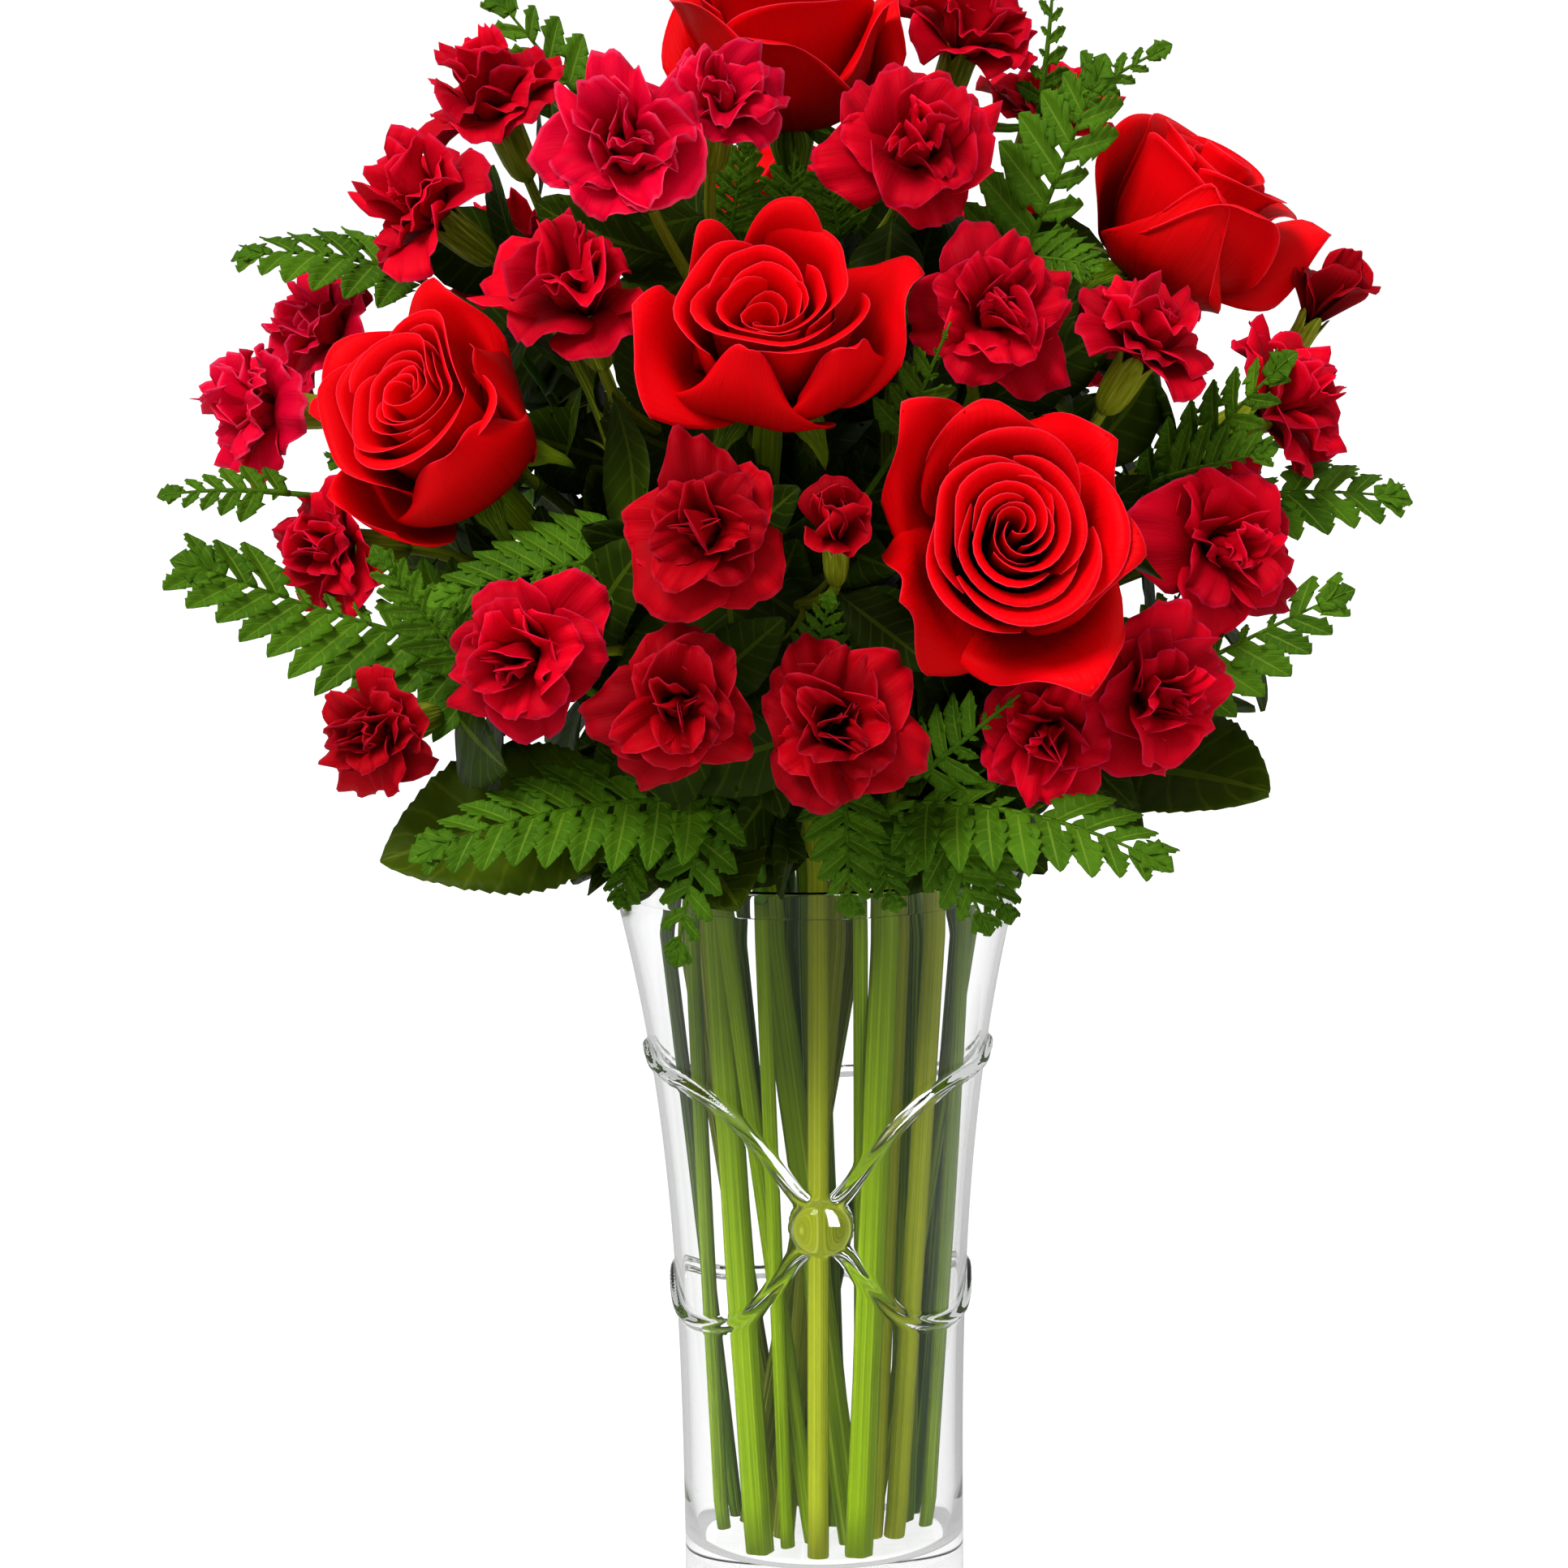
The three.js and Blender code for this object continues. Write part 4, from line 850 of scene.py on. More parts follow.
# %% Joint leaves
def blades(roots, ahead, outward, length, width, curl, tones):
    """Narrow pointed leaves: along the stem at first, then out and down by the curl."""
    v = np.linspace(0, 1, 10)[None, :, None]
    u = np.linspace(-1, 1, 3)[None, None, :]
    length, curl = length[:, None, None], curl[:, None, None]
    turn = 0.5 + curl * v
    rise = length * v * np.cos(turn * v)
    out = length * v * np.sin(turn * v)
    half = width * (1 - v) ** 0.6 * (0.55 + 0.45 * smooth(v, 0, 0.2)) + 0.12
    et = np.cross(ahead, outward)
    out = out + 0.3 * half * u ** 2
    grid = (roots[:, None, None] + rise[..., None] * ahead[:, None, None]
            + out[..., None] * outward[:, None, None] + (half * u)[..., None] * et[:, None, None])
    return sheets(grid, THICK["joint_leaf"], tones)


def joint_leaves(line, share, length):
    """A pair of narrow leaves on opposite sides of a stem joint."""
    at, ahead = point_at(line, share)
    out = any_way_from(ahead, rng)
    lengths = length * (0.8 + 0.4 * rng.random(2))
    curls = 0.3 + 0.8 * rng.random(2)
    return blades(np.array([at, at]), np.array([ahead, ahead]), np.array([out, -out]), lengths, 1.7, curls,
                  0.2 + 0.6 * rng.random(2))


def swollen(count, thick, thin, joints):
    """Radii that fall from thick to thin, with a small swelling at each joint's share."""
    share = np.linspace(0, 1, count)
    radii = thick + (thin - thick) * share ** 2
    for joint in joints:
        radii = radii + 0.7 * np.exp(-((share - joint) / 0.018) ** 2)
    return radii


# %% Sprays
LOWEST_LEAVES = 0.2
LEAF_LENGTH = {"stem": 24, "shoot": 15}


def flower(name, index):
    """The plan of a bud or of one of the blooms under a name."""
    return buds[name[4:]] if name.startswith("bud_") else carnations[name][index]


def spray_part(name):
    """The main stem with its calyx and joint leaves, then each shoot with its own."""
    mouth, foot, flowers = SPRAYS[name]
    first = flower(*flowers[0][:2])
    wet, dry = stem_line(on_floor(foot), on_mouth(mouth), calyx_foot(first), first["axis"], 60)
    stem_lines["spray_" + name] = dry
    joints = [share for *_, share in flowers[1:]]
    tone = lit(foot, mouth)
    radii = swollen(len(dry), STEM["spray"], STEM["pedicel"], joints)
    radii = np.r_[np.full(len(wet) - 1, STEM["spray"]), radii]
    line = np.concatenate([wet[:-1], dry])
    parts = [tube(line, radii, SIDES["spray"], tone), calyx_part(first, tone)]
    parts += [joint_leaves(dry, share, LEAF_LENGTH["stem"]) for share in joints if share > LOWEST_LEAVES]
    for flower_name, index, share in flowers[1:]:
        bloom = flower(flower_name, index)
        start, leaving = point_at(dry, share)
        shoot = bent(start, leaving, calyx_foot(bloom), bloom["axis"], 24)
        stem_lines[f"shoot_{flower_name}_{index}"] = shoot
        radii = swollen(len(shoot), STEM["shoot"], STEM["pedicel"], [0.5])
        parts.append(tube(shoot, radii, SIDES["shoot"], rng.random()))
        parts.append(calyx_part(bloom, rng.random()))
        parts.append(joint_leaves(shoot, 0.5, LEAF_LENGTH["shoot"]))
    return gathered(parts)


for name in SPRAYS:
    part = spray_part(name)
    piece("carnation_spray_" + name, part, CALYX_GREEN, "carnation_stem", "spray_" + name, merge=True)
print("stems and shoots:", len(stem_lines))

# %% [markdown]
# Blooms that touch press each other flat on the side where they meet. Round each bloom the room
# is worked out once: for each turn about its axis, how far its widest petals may reach before they
# pass the half-way plane to a neighbour. All its petals are then drawn in by that share.

# %% Room round a bloom
NARROWEST = 0.3


def room_round(bloom, turns=60):
    """The share of its reach that a bloom keeps at each turn, smoothed round the circle.

    The plane between two blooms divides the gap by their radii. At three heights up the axis, the
    reach towards the neighbour is held to the room left before that plane.
    """
    radius = bloom["radius"]
    reach = radius * round_bloom(TURN * np.arange(turns) / turns, bloom)
    share = np.ones(turns)
    for other in blooms:
        if other is bloom or other["group"] == bloom["group"]:
            continue
        gap = other["middle"] - bloom["middle"]
        half = np.linalg.norm(gap) * radius / (radius + other["radius"]) - 0.3
        way = unit(gap)
        outward = reach @ way
        for up in (0.3, 0.7, 1.05):
            core = bloom["seat"] + up * radius * bloom["axis"] - bloom["middle"]
            room = half - core @ way
            tight = outward > max(room, 1e-6)
            share[tight] = np.minimum(share[tight], np.maximum(room / outward[tight], NARROWEST))
    soft = (np.roll(share, 1) + share + np.roll(share, -1)) / 3
    return np.minimum(share + 0.04, soft)


def pressed(points, bloom):
    """Each point drawn in towards the bloom's axis by the room at its turn."""
    table = room_round(bloom)
    away = points - bloom["seat"]
    up = away @ bloom["axis"]
    core = bloom["seat"] + up[..., None] * bloom["axis"]
    out = points - core
    turn = np.arctan2(out @ bloom["other"], out @ bloom["side"]) % TURN
    around = np.r_[table, table[0]]
    share = np.interp(turn, np.linspace(0, TURN, len(around)), around)
    return core + out * share[..., None]


# %% [markdown]
# A rose is one long spiral of petals. Each next petal sits 137.5 degrees further round and a
# little further out, one edge tucked under its neighbour and the other lying over it. Heart petals
# wrap the centre almost whole; outer ones are broad cups whose rims roll back to a point. A single
# table of profiles, heart, middle and outermost, is blended by a running number that also grows
# across each petal, and that growth is what keeps the spiral from cutting itself.

# %% Roses
GOLDEN = math.radians(137.5)
ROSE_GRID = (17, 21)
# How far out and how high a petal runs, in radii, at these shares of its length.
PROFILE_AT = np.array([0, 0.2, 0.4, 0.6, 0.8, 0.92, 1.0])
ROSE_OUT = np.array([[0.04, 0.06, 0.07, 0.075, 0.08, 0.09, 0.1],
                     [0.08, 0.3, 0.43, 0.47, 0.51, 0.57, 0.65],
                     [0.1, 0.52, 0.74, 0.83, 0.93, 1.05, 1.15]])
ROSE_UP = np.array([[0.05, 0.24, 0.47, 0.7, 0.92, 1.04, 1.1],
                    [0.02, 0.16, 0.42, 0.7, 0.95, 1.06, 1.08],
                    [0.0, 0.08, 0.28, 0.53, 0.78, 0.86, 0.8]])
ROSE_WAYS = {
    # petals, height of the heart, how far the last petals fall open, seed
    "front": (17, 0.6, 0.7, 20), "left": (20, 0.98, 0.4, 21), "low_right": (20, 0.98, 0.8, 22),
    "right": (16, 1.02, 0.1, 23), "top": (17, 1.0, 0.3, 24), "back": (18, 1.05, 0.7, 25),
}
ROSE_TIPS = {
    # the last petals, inner ones first: turn from the right and reach from the heart, as seen,
    # and the extra belly of the cup
    "front": [(78, 24, 0), (137, 34, 0), (250, 20, 0.3), (-35, 29, 0.2), (180, 42, -0.1), (15, 45, 0)],
    "left": [(-55, 30, 0.35), (149, 23, 0), (72, 29, 0), (20, 31, 0.25), (198, 31, 0), (232, 41, 0.1)],
    "low_right": [(103, 33, 0), (-17, 36, 0), (40, 36, 0), (212, 40, 0), (134, 45, 0), (-68, 48, 0)],
    "right": [(-38, 42, 0), (255, 22, 0.05)],
}
# The picture's right and up, as the camera sees them, and how high a tip and the heart stand.
SEEN = np.array([[1, 0, 0], [0, 0.153, 0.988]])
TIP_UP, HEART_UP = 0.8, 1.1


def profile(table, t, v):
    """A table of profiles blended by t through its three rows, and read smoothly at v."""
    fine = np.linspace(0, 1, 81)
    rows = np.array([np.interp(fine, PROFILE_AT, row) for row in table])
    kernel = np.hanning(13) / np.hanning(13).sum()
    padded = np.pad(rows, ((0, 0), (6, 6)), mode="reflect", reflect_type="odd")
    rows = np.array([np.convolve(row, kernel, "valid") for row in padded])
    read = [np.interp(v, fine, row) for row in rows]
    return 2 * (t - 0.5) * (t - 1) * read[0] - 4 * t * (t - 1) * read[1] + 2 * t * (t - 0.5) * read[2]


def tip_place(bloom, heart, turn, reach):
    """A petal's turn round the axis, and its reach in radii, from where its tip is seen.

    The tip stands at TIP_UP radii up the axis and the heart at HEART_UP times its share, so the
    part of that difference that shows in the picture is taken off before the two are solved.
    """
    target = reach * np.array([math.cos(math.radians(turn)), math.sin(math.radians(turn))])
    target = target - (TIP_UP - HEART_UP * heart) * bloom["radius"] * SEEN @ bloom["axis"]
    a, b = np.linalg.solve(SEEN @ np.array([bloom["side"], bloom["other"]]).T, target)
    return math.atan2(b, a), math.hypot(a, b) / bloom["radius"]


# %% Rose blooms
def petal_axes(rows, columns):
    """v from the foot of a petal to its edge, and u across it, for a stack of grids."""
    return np.linspace(0, 1, rows)[None, :, None], np.linspace(-1, 1, columns)[None, None, :]


def rose_part(bloom, petals, heart, fall, seed, tips):
    """Petals as grids: across is u from -1 to 1, and up from the seat is v from 0 to 1.

    Turn: the petal's golden-angle place plus u times its angular width. Running number t: the
    petal's rank plus a share of that turn. Radius and height: the profile tables at t and v, with
    v cut short towards the side edges, so the petal's top is rounded, or pointed on outer petals.
    The petals stand a little wider apart on one side of the bloom than on the other.
    """
    draw = np.random.default_rng(seed)
    rank = np.arange(petals)[:, None, None]
    v, u = petal_axes(*ROSE_GRID)
    each = lambda low, high: draw.uniform(low, high, (petals, 1, 1))
    first = rank / (petals - 1)
    half_width = (0.4 + 0.36 * first) * each(0.9, 1.15)
    spread = np.minimum(half_width / (0.09 + 0.75 * first), 2.9)
    outer = smooth(first, 0.45, 0.9)
    drawn_out = np.zeros((petals, 1, 1))
    drawn_out[petals - len(tips):] = 1
    drawn_in = 1 - (0.34 * outer + 0.12 * drawn_out) * smooth(v, 0.6, 1.0)
    turn = spread * u * (0.6 + 0.4 * smooth(v, 0, 0.6)) * drawn_in
    t = np.clip((rank + 0.9 * spread * u) / petals, -0.05, 1.05)
    bluntness = 3.0 - 1.3 * outer - 0.5 * drawn_out
    reach = v * (1 - (0.12 + 0.26 * outer + 0.04 * drawn_out) * np.abs(u) ** bluntness) * each(0.93, 1.02)
    out = profile(ROSE_OUT, t, reach)
    up = profile(ROSE_UP * [[heart], [1], [1]], t, reach) * each(0.96, 1.04)
    roll = outer * each(0.5, 1.5) * smooth(np.abs(u), 0.15, 1.0) * smooth(v, 0.4, 1.0)
    out = out + 0.12 * roll
    up = up - 0.14 * roll
    wave = 2.4 * u + each(0, TURN)
    out = out + (0.014 + 0.026 * outer) * np.sin(wave * 1.3) * v ** 3
    up = up + (0.03 + 0.03 * outer) * np.sin(wave) * v ** 3
    centre = GOLDEN * rank + each(-0.15, 0.15)
    for number, (picture_turn, picture_reach, belly) in enumerate(tips, petals - len(tips)):
        centre[number], wanted = tip_place(bloom, heart, picture_turn, picture_reach)
        pull = wanted / out[number, -1, u.size // 2] - 1
        out[number] *= 1 + pull * smooth(v[0], 0.35, 1.0) + belly * np.sin(np.pi * v[0])
        up[number] *= 1 - 0.45 * min(pull, 0) * smooth(v[0], 0.35, 1.0)
    angle = centre + turn
    open_side = np.cos(angle - 3.9)
    out = out * (1 + 0.05 * np.sin(2 * angle + draw.uniform(0, TURN)))
    out = out + 0.07 * open_side * smooth(t, 0.05, 0.35) * (1 - smooth(t, 0.45, 0.8)) * v ** 2
    lean = np.radians(9) * fall * smooth(rank, petals - 6, petals - 1) * each(-0.2, 1.3) * (1 - drawn_out)
    out, up = out * np.cos(lean) + up * np.sin(lean), up * np.cos(lean) - (out - 0.1) * np.sin(lean) * 0.7
    around, axis = round_bloom(angle, bloom), bloom["axis"]
    grid = bloom["seat"] + bloom["radius"] * (out[..., None] * around + up[..., None] * axis)
    return sheets(pressed(grid, bloom), THICK["petal"], draw.random(petals))


for name, bloom in roses.items():
    piece("rose_bloom_" + name, rose_part(bloom, *ROSE_WAYS[name], ROSE_TIPS.get(name, [])), ROSE_RED,
          "rose_petal", "rose_" + name)
print("roses:", len(roses))

# %% [markdown]
# A mini carnation opens flat from a narrow throat. Its petals are fans: a thin claw inside the
# calyx, then a broad blade with a waved and toothed edge. The outer ring lies almost flat, the
# rings inside stand steeper and are pleated more, and the heart is a crumple of folded fans. Each
# petal is a grid that spreads as it leaves the axis, pushed off its plane by running waves.

# %% Carnations
CARNATION_GRID = (9, 17)
WHORLS = [
    # petals, reach, rise, half width, wave height, fold in degrees, recurve, closing
    (5, 1.0, 0.34, 0.62, 0.09, 8, 0.16, 0),
    (5, 0.8, 0.58, 0.5, 0.1, 22, 0.08, 0),
    (3, 0.54, 0.76, 0.46, 0.12, 42, 0.0, 0),
    (3, 0.28, 0.86, 0.34, 0.11, 60, 0.0, 0),
]
BUD_WHORLS = [
    (3, 1.2, 1.5, 0.95, 0.06, 0, 0.1, 0),
    (4, 0.9, 1.9, 0.8, 0.03, 0, -0.1, 0.72),
    (3, 0.5, 1.8, 0.5, 0.06, 20, -0.1, 0.5),
]


def carnation_part(bloom, seed, whorls=WHORLS):
    """Fans as grids: across is u from -1 to 1, and from the throat to the edge is v from 0 to 1.

    Radius: a small throat plus the reach times v to a power. Height: a quick rise that levels off,
    less a recurve at the rim. Width: grows with v, then rounds off. Each half is folded up from the
    midline by the fold's angle, and two slow sine waves across the petal push it off its plane.
    """
    draw = np.random.default_rng(seed)
    table, turns = [], []
    start = TURN * draw.random()
    for ring, (count, *values) in enumerate(whorls):
        table += [values] * count
        spaced = np.arange(count) + draw.uniform(-0.32, 0.32, count)
        turns += list(start + 0.5 * ring * TURN / count + TURN * spaced / count)
    n = len(table)
    reach, rise, width, height, fold, recurve, closing = np.array(table).T[:, :, None, None]
    each = lambda low, high: draw.uniform(low, high, (n, 1, 1))
    v, u = petal_axes(*CARNATION_GRID)
    lobes = 0.014 * np.sin(6.5 * u * each(0.8, 1.2) + each(0, TURN)) + 0.01 * np.sin(17 * u + each(0, TURN))
    vv = v * (1 - 0.4 * np.abs(u) ** 2.7) * each(0.86, 1.07) + lobes * smooth(v, 0.7, 1.0)
    reach = reach * each(0.9, 1.05)
    rise = rise * each(0.65, 1.25)
    out = 0.05 + reach * vv ** 1.25 * (1 - closing * vv ** 2)
    up = 0.02 + rise * (1 - (1 - np.clip(vv, 0, 1)) ** 1.9) - recurve * each(0.3, 1.6) * vv ** 4
    slope_out = 1.25 * reach * np.clip(vv, 0.02, 1) ** 0.25
    slope_up = rise * 1.9 * (1 - np.clip(vv, 0, 0.98)) ** 0.9 - 4 * recurve * vv ** 3
    steep = np.hypot(slope_out, slope_up)
    normal_out, normal_up = -slope_up / steep, slope_out / steep
    bend = np.radians(fold) * each(0.5, 1.5) * smooth(v, 0.15, 0.8)
    half = width * each(0.85, 1.2) * u * (0.13 + 0.87 * v ** 0.8) * (1 - 0.12 * smooth(v, 0.8, 1.0))
    side = half * np.cos(bend)
    phase, second = each(0, TURN), each(0, TURN)
    ruffle = np.sin(1.25 * math.pi * u + phase) + 0.7 * np.sin(3.3 * math.pi * u + second) * smooth(v, 0.4, 1)
    push = height * each(0.6, 1.4) * (ruffle * v ** 1.6) + np.abs(half) * np.sin(bend)
    push = push + np.tan(np.radians(each(-14, 14))) * half * v
    radius = bloom["radius"]
    inward = 1 - reach / reach.max()
    aside = draw.uniform(0, TURN)
    er = round_bloom(np.array(turns)[:, None, None], bloom)
    et = np.cross(bloom["axis"], er)
    grid = bloom["seat"] + radius * ((out + normal_out * push)[..., None] * er + side[..., None] * et
                                     + (up + normal_up * push)[..., None] * bloom["axis"])
    off = 0.16 * radius * inward[..., None] * v[..., None]
    grid = grid + off * (math.cos(aside) * bloom["side"] + math.sin(aside) * bloom["other"])
    return sheets(pressed(grid, bloom), THICK["petal"], draw.random(n))


PINKER = ("top_pink", "top_pale", "left_high", "left_far")
# The low blooms in front get the darker red as painted shade.
LOW_BLOOMS_IN_PAINTED_SHADE = ("front_middle", "low_left", "low_middle", "bottom_left")
BLOOM_SEED, SEEDS_APART, BUD_SEED = 100, 7, 300
for number, (name, members) in enumerate(carnations.items()):
    seed = BLOOM_SEED + SEEDS_APART * number
    part = gathered([carnation_part(bloom, seed + i) for i, bloom in enumerate(members)])
    colour = CARNATION_PINK if name in PINKER else CARNATION_DEEP_BUD_AND_SHADE if name in LOW_BLOOMS_IN_PAINTED_SHADE else CARNATION_RED
    piece("carnation_bloom_" + name, part, colour, "carnation_petal", "carnation_" + name)
for number, (name, bloom) in enumerate(buds.items()):
    piece("carnation_bud_" + name, carnation_part(bloom, BUD_SEED + number, BUD_WHORLS), CARNATION_DEEP_BUD_AND_SHADE,
          "carnation_petal", "bud_" + name)
print("carnation pieces:", len(carnations) + len(buds))

# %% [markdown]
# Leatherleaf fern fills between the blooms. A frond is a rib with leaflets on both sides, longest
# at the foot, leaning forward, each with saw teeth along both edges and a groove down its middle.
# All the leaflets of a frond are worked out together as one stack of grids. One that would run
# into a bloom is made shorter, as the florist would turn it aside.

# %% Where the fern fronds lie
FERNS = {
    # place at the mouth, foot of the blades, and each blade's tip, facing, widest leaflet and arch
    "left_low": ([-36, -30], [-84, -62, 290], [([-178, -76, 322], [-0.2, -0.8, 0.55], 35, -6)]),
    "bottom_left": ([-16, -44], [-30, -78, 252], [([-110, -112, 243], [-0.1, -0.72, 0.68], 27, 8),
                                                  ([-40, -90, 207], [-0.05, -0.97, 0.25], 15, 8)]),
    "bottom_right": ([12, -45], [28, -78, 250], [([95, -116, 238], [0.1, -0.72, 0.68], 27, 8),
                                                 ([48, -84, 214], [0.1, -0.95, 0.3], 17, 5)]),
    "right_low": ([42, -22], [92, -52, 276], [([150, -62, 306], [0.3, -0.8, 0.5], 24, 3)]),
    "right": ([46, -9], [96, -30, 326], [([173, -20, 328], [0.1, -0.7, 0.7], 25, 6),
                                         ([133, -66, 372], [0, -0.85, 0.5], 19, 4)]),
    "upper_right": ([22, -6], [58, -34, 392], [([84, -36, 455], [0.1, -0.97, 0.2], 26, 3)]),
    "top_left": ([-24, 8], [-50, 24, 425], [([-92, 28, 477], [-0.1, -0.95, 0.2], 20, 3)]),
    "left": ([-45, 6], [-112, -4, 394], [([-164, -16, 402], [0, -0.55, 0.83], 22, 5)]),
    "back_left": ([-30, 34], [-60, 60, 308], [([-126, 96, 326], [-0.3, 0.7, 0.65], 34, 6)]),
    "back_right": ([32, 32], [72, 78, 300], [([128, 92, 322], [0.3, 0.7, 0.65], 34, 8)]),
}
MIDDLES = np.array([b["middle"] for b in blooms])
RADII = np.array([b["radius"] for b in blooms])


def blade_frame(base, tip, face, arch, shares):
    """A middle line bent towards its facing, with its direction, sideways and facing at shares."""
    base, tip, facing = np.array(base, float), np.array(tip, float), unit(face)
    control = (base + tip) / 2 + 2 * arch * facing
    t = np.asarray(shares, float)[:, None]
    at = (1 - t) ** 2 * base + 2 * t * (1 - t) * control + t ** 2 * tip
    along = unit(2 * (1 - t) * (control - base) + 2 * t * (tip - control))
    sideways = unit(np.cross(facing, along))
    return at, along, sideways, np.cross(along, sideways)


def clear_sizes(roots, directions, lengths):
    """The largest share of its length that keeps each leaflet out of every bloom."""
    sizes = np.array([1, 0.85, 0.7, 0.55, 0.4, 0.28])
    shares = np.array([0.4, 0.7, 1.0])
    points = (roots[:, None, None] + (lengths[:, None, None] * sizes[:, None] * shares)[..., None]
              * directions[:, None, None])
    gap = np.linalg.norm(points[..., None, :] - MIDDLES, axis=-1) - 0.92 * RADII
    free = gap.min(axis=(2, 3)) > 0
    free[:, -1] = True
    return sizes[np.argmax(free, axis=1)]


# %% Fern blades
HANDS = np.array([-1.0, 1.0])
BARE_TIP = 0.94
END_LEAFLET = 0.86


def frond_part(base, tip, face, arch, wide, spacing=9.4, rows=21):
    """Leaflets in pairs along the rib, and one at its end, each folded along its own middle.

    A leaflet's half width is an oval times a saw: one minus a share of how far along its tooth a
    point lies. Its grid leans forwards, droops towards its tip and ripples with its teeth.
    """
    blade = (base, tip, face, arch)
    length = np.linalg.norm(np.array(tip) - base)
    pairs = max(6, int(round(length / spacing)))
    shares = (np.arange(pairs) + 0.5) / pairs * BARE_TIP
    at, along, sideways, facing = blade_frame(*blade, shares)
    forwards = (0.45 + 0.75 * shares ** 1.5)[:, None, None]
    axis = unit(forwards * along[:, None] + HANDS[None, :, None] * sideways[:, None]).reshape(-1, 3)
    roots = (at[:, None] + 0.12 * HANDS[:, None] * length / pairs * along[:, None]).reshape(-1, 3)
    lean = np.repeat(along, 2, axis=0) * np.tile(HANDS, pairs)[:, None]
    face_at = np.repeat(facing, 2, axis=0)
    reach = np.repeat(wide * (1 - 0.72 * shares ** 1.4) * (0.85 + 0.15 * smooth(shares, 0, 0.12)), 2)
    reach = reach * rng.uniform(0.92, 1.06, 2 * pairs)
    ends = blade_frame(*blade, [END_LEAFLET])
    roots, axis, lean, face_at = (np.vstack(pair) for pair in zip((roots, axis, lean, face_at), ends))
    reach = np.r_[reach, 0.14 * length + 2]
    reach = reach * clear_sizes(roots, axis, reach)
    half = np.minimum(0.84 * length / pairs, 0.46 * reach)[:, None, None]
    s = np.linspace(0, 1, rows)[None, :, None]
    w = np.linspace(-1, 1, 5)[None, None, :]
    teeth = np.clip(np.round(reach / 3.6), 3, (rows - 1) // 4)[:, None, None]
    reach = reach[:, None, None]
    edge = 1 - (0.16 + 0.34 * (1 - s)) * ((s * teeth) % 1) * smooth(s, 0.02, 0.15)
    oval = (0.42 + 0.58 * smooth(s, 0, 0.3)) * (1 - s ** 2.1) ** 0.8 + 0.02
    span = half * oval * edge * w
    sweep = np.abs(w) ** 1.4 * half * 0.5 * smooth(s, 0.03, 0.3) * (1 - s)
    droop = reach * (0.06 * s - 0.2 * s ** 2) + 0.28 * np.abs(span) - 0.3 * (np.abs(w) < 0.1)
    ripple = 0.25 * np.abs(w) * np.sin(TURN * s * teeth)
    grid = (roots[:, None, None] + (s * reach + sweep)[..., None] * axis[:, None, None]
            + span[..., None] * lean[:, None, None] + (droop + ripple)[..., None] * face_at[:, None, None])
    rib, *_ = blade_frame(*blade, np.linspace(0, 1.0, 16))
    leaflets = sheets(grid, THICK["leaflet"], rng.random(len(grid)))
    return [leaflets, tube(rib, np.linspace(1.1, 0.3, 16), SIDES["thin"], 0.4)]


# %% Standing stems of ferns and leaves
STEM_STEPS = 30
BELOW_MOUTH = 26
standing_lines = [np.linspace(on_floor(foot), on_mouth(mouth), STEM_STEPS)
                  for mouth, foot, *_ in [*ROSE_STEMS.values(), *SPRAYS.values()]]
thin_stems = []


def free_foot(mouth, radius):
    """The place on the vase's floor from which a straight stem keeps farthest from those standing.

    The stem itself is kept for later, and its last point below the mouth is returned.
    """
    turns = TURN * np.arange(24) / 24
    places = [on_floor([r * math.cos(a), r * math.sin(a)]) for r in (14, 22, 30) for a in turns]
    lines = [np.linspace(place, on_mouth(mouth), STEM_STEPS) for place in places]
    taken = np.concatenate(standing_lines)
    room = [np.linalg.norm(line[:BELOW_MOUTH, None] - taken, axis=-1).min() for line in lines]
    best = int(np.argmax(room))
    standing_lines.append(lines[best])
    sides, tone = SIDES["standing"], lit(places[best], mouth)
    thin_stems.append(tube(lines[best], radius, sides, tone, ribs(3, 0.1, sides)))
    return lines[best][-2]


# %% Fern fronds
def fern_part(mouth, base, blades_of):
    """A thin stalk from the mouth to the foot of the blades, and each blade."""
    base = np.array(base, float)
    tip, face, _, arch = blades_of[0]
    _, (along,), _, _ = blade_frame(base, tip, face, arch, [0])
    _, dry = stem_line(free_foot(mouth, STEM["fern"] + 0.2), on_mouth(mouth), base, along, 20)
    parts = [tube(dry, np.linspace(STEM["fern"], STEM["stalk"], len(dry)), SIDES["fern"], rng.random())]
    for tip, face, wide, arch in blades_of:
        parts += frond_part(base, tip, face, arch, wide)
    return gathered(parts)


for name, plan in FERNS.items():
    piece("fern_frond_" + name, fern_part(*plan), FERN_GREEN, "fern", "fern_" + name, merge=True)
print("fronds:", len(FERNS))

# %% [markdown]
# Broad dark leaves collar the vase's rim. Each is an oval with a drawn-out tip, folded a little
# along its midrib, quilted between its side veins and saw-toothed round its edge.

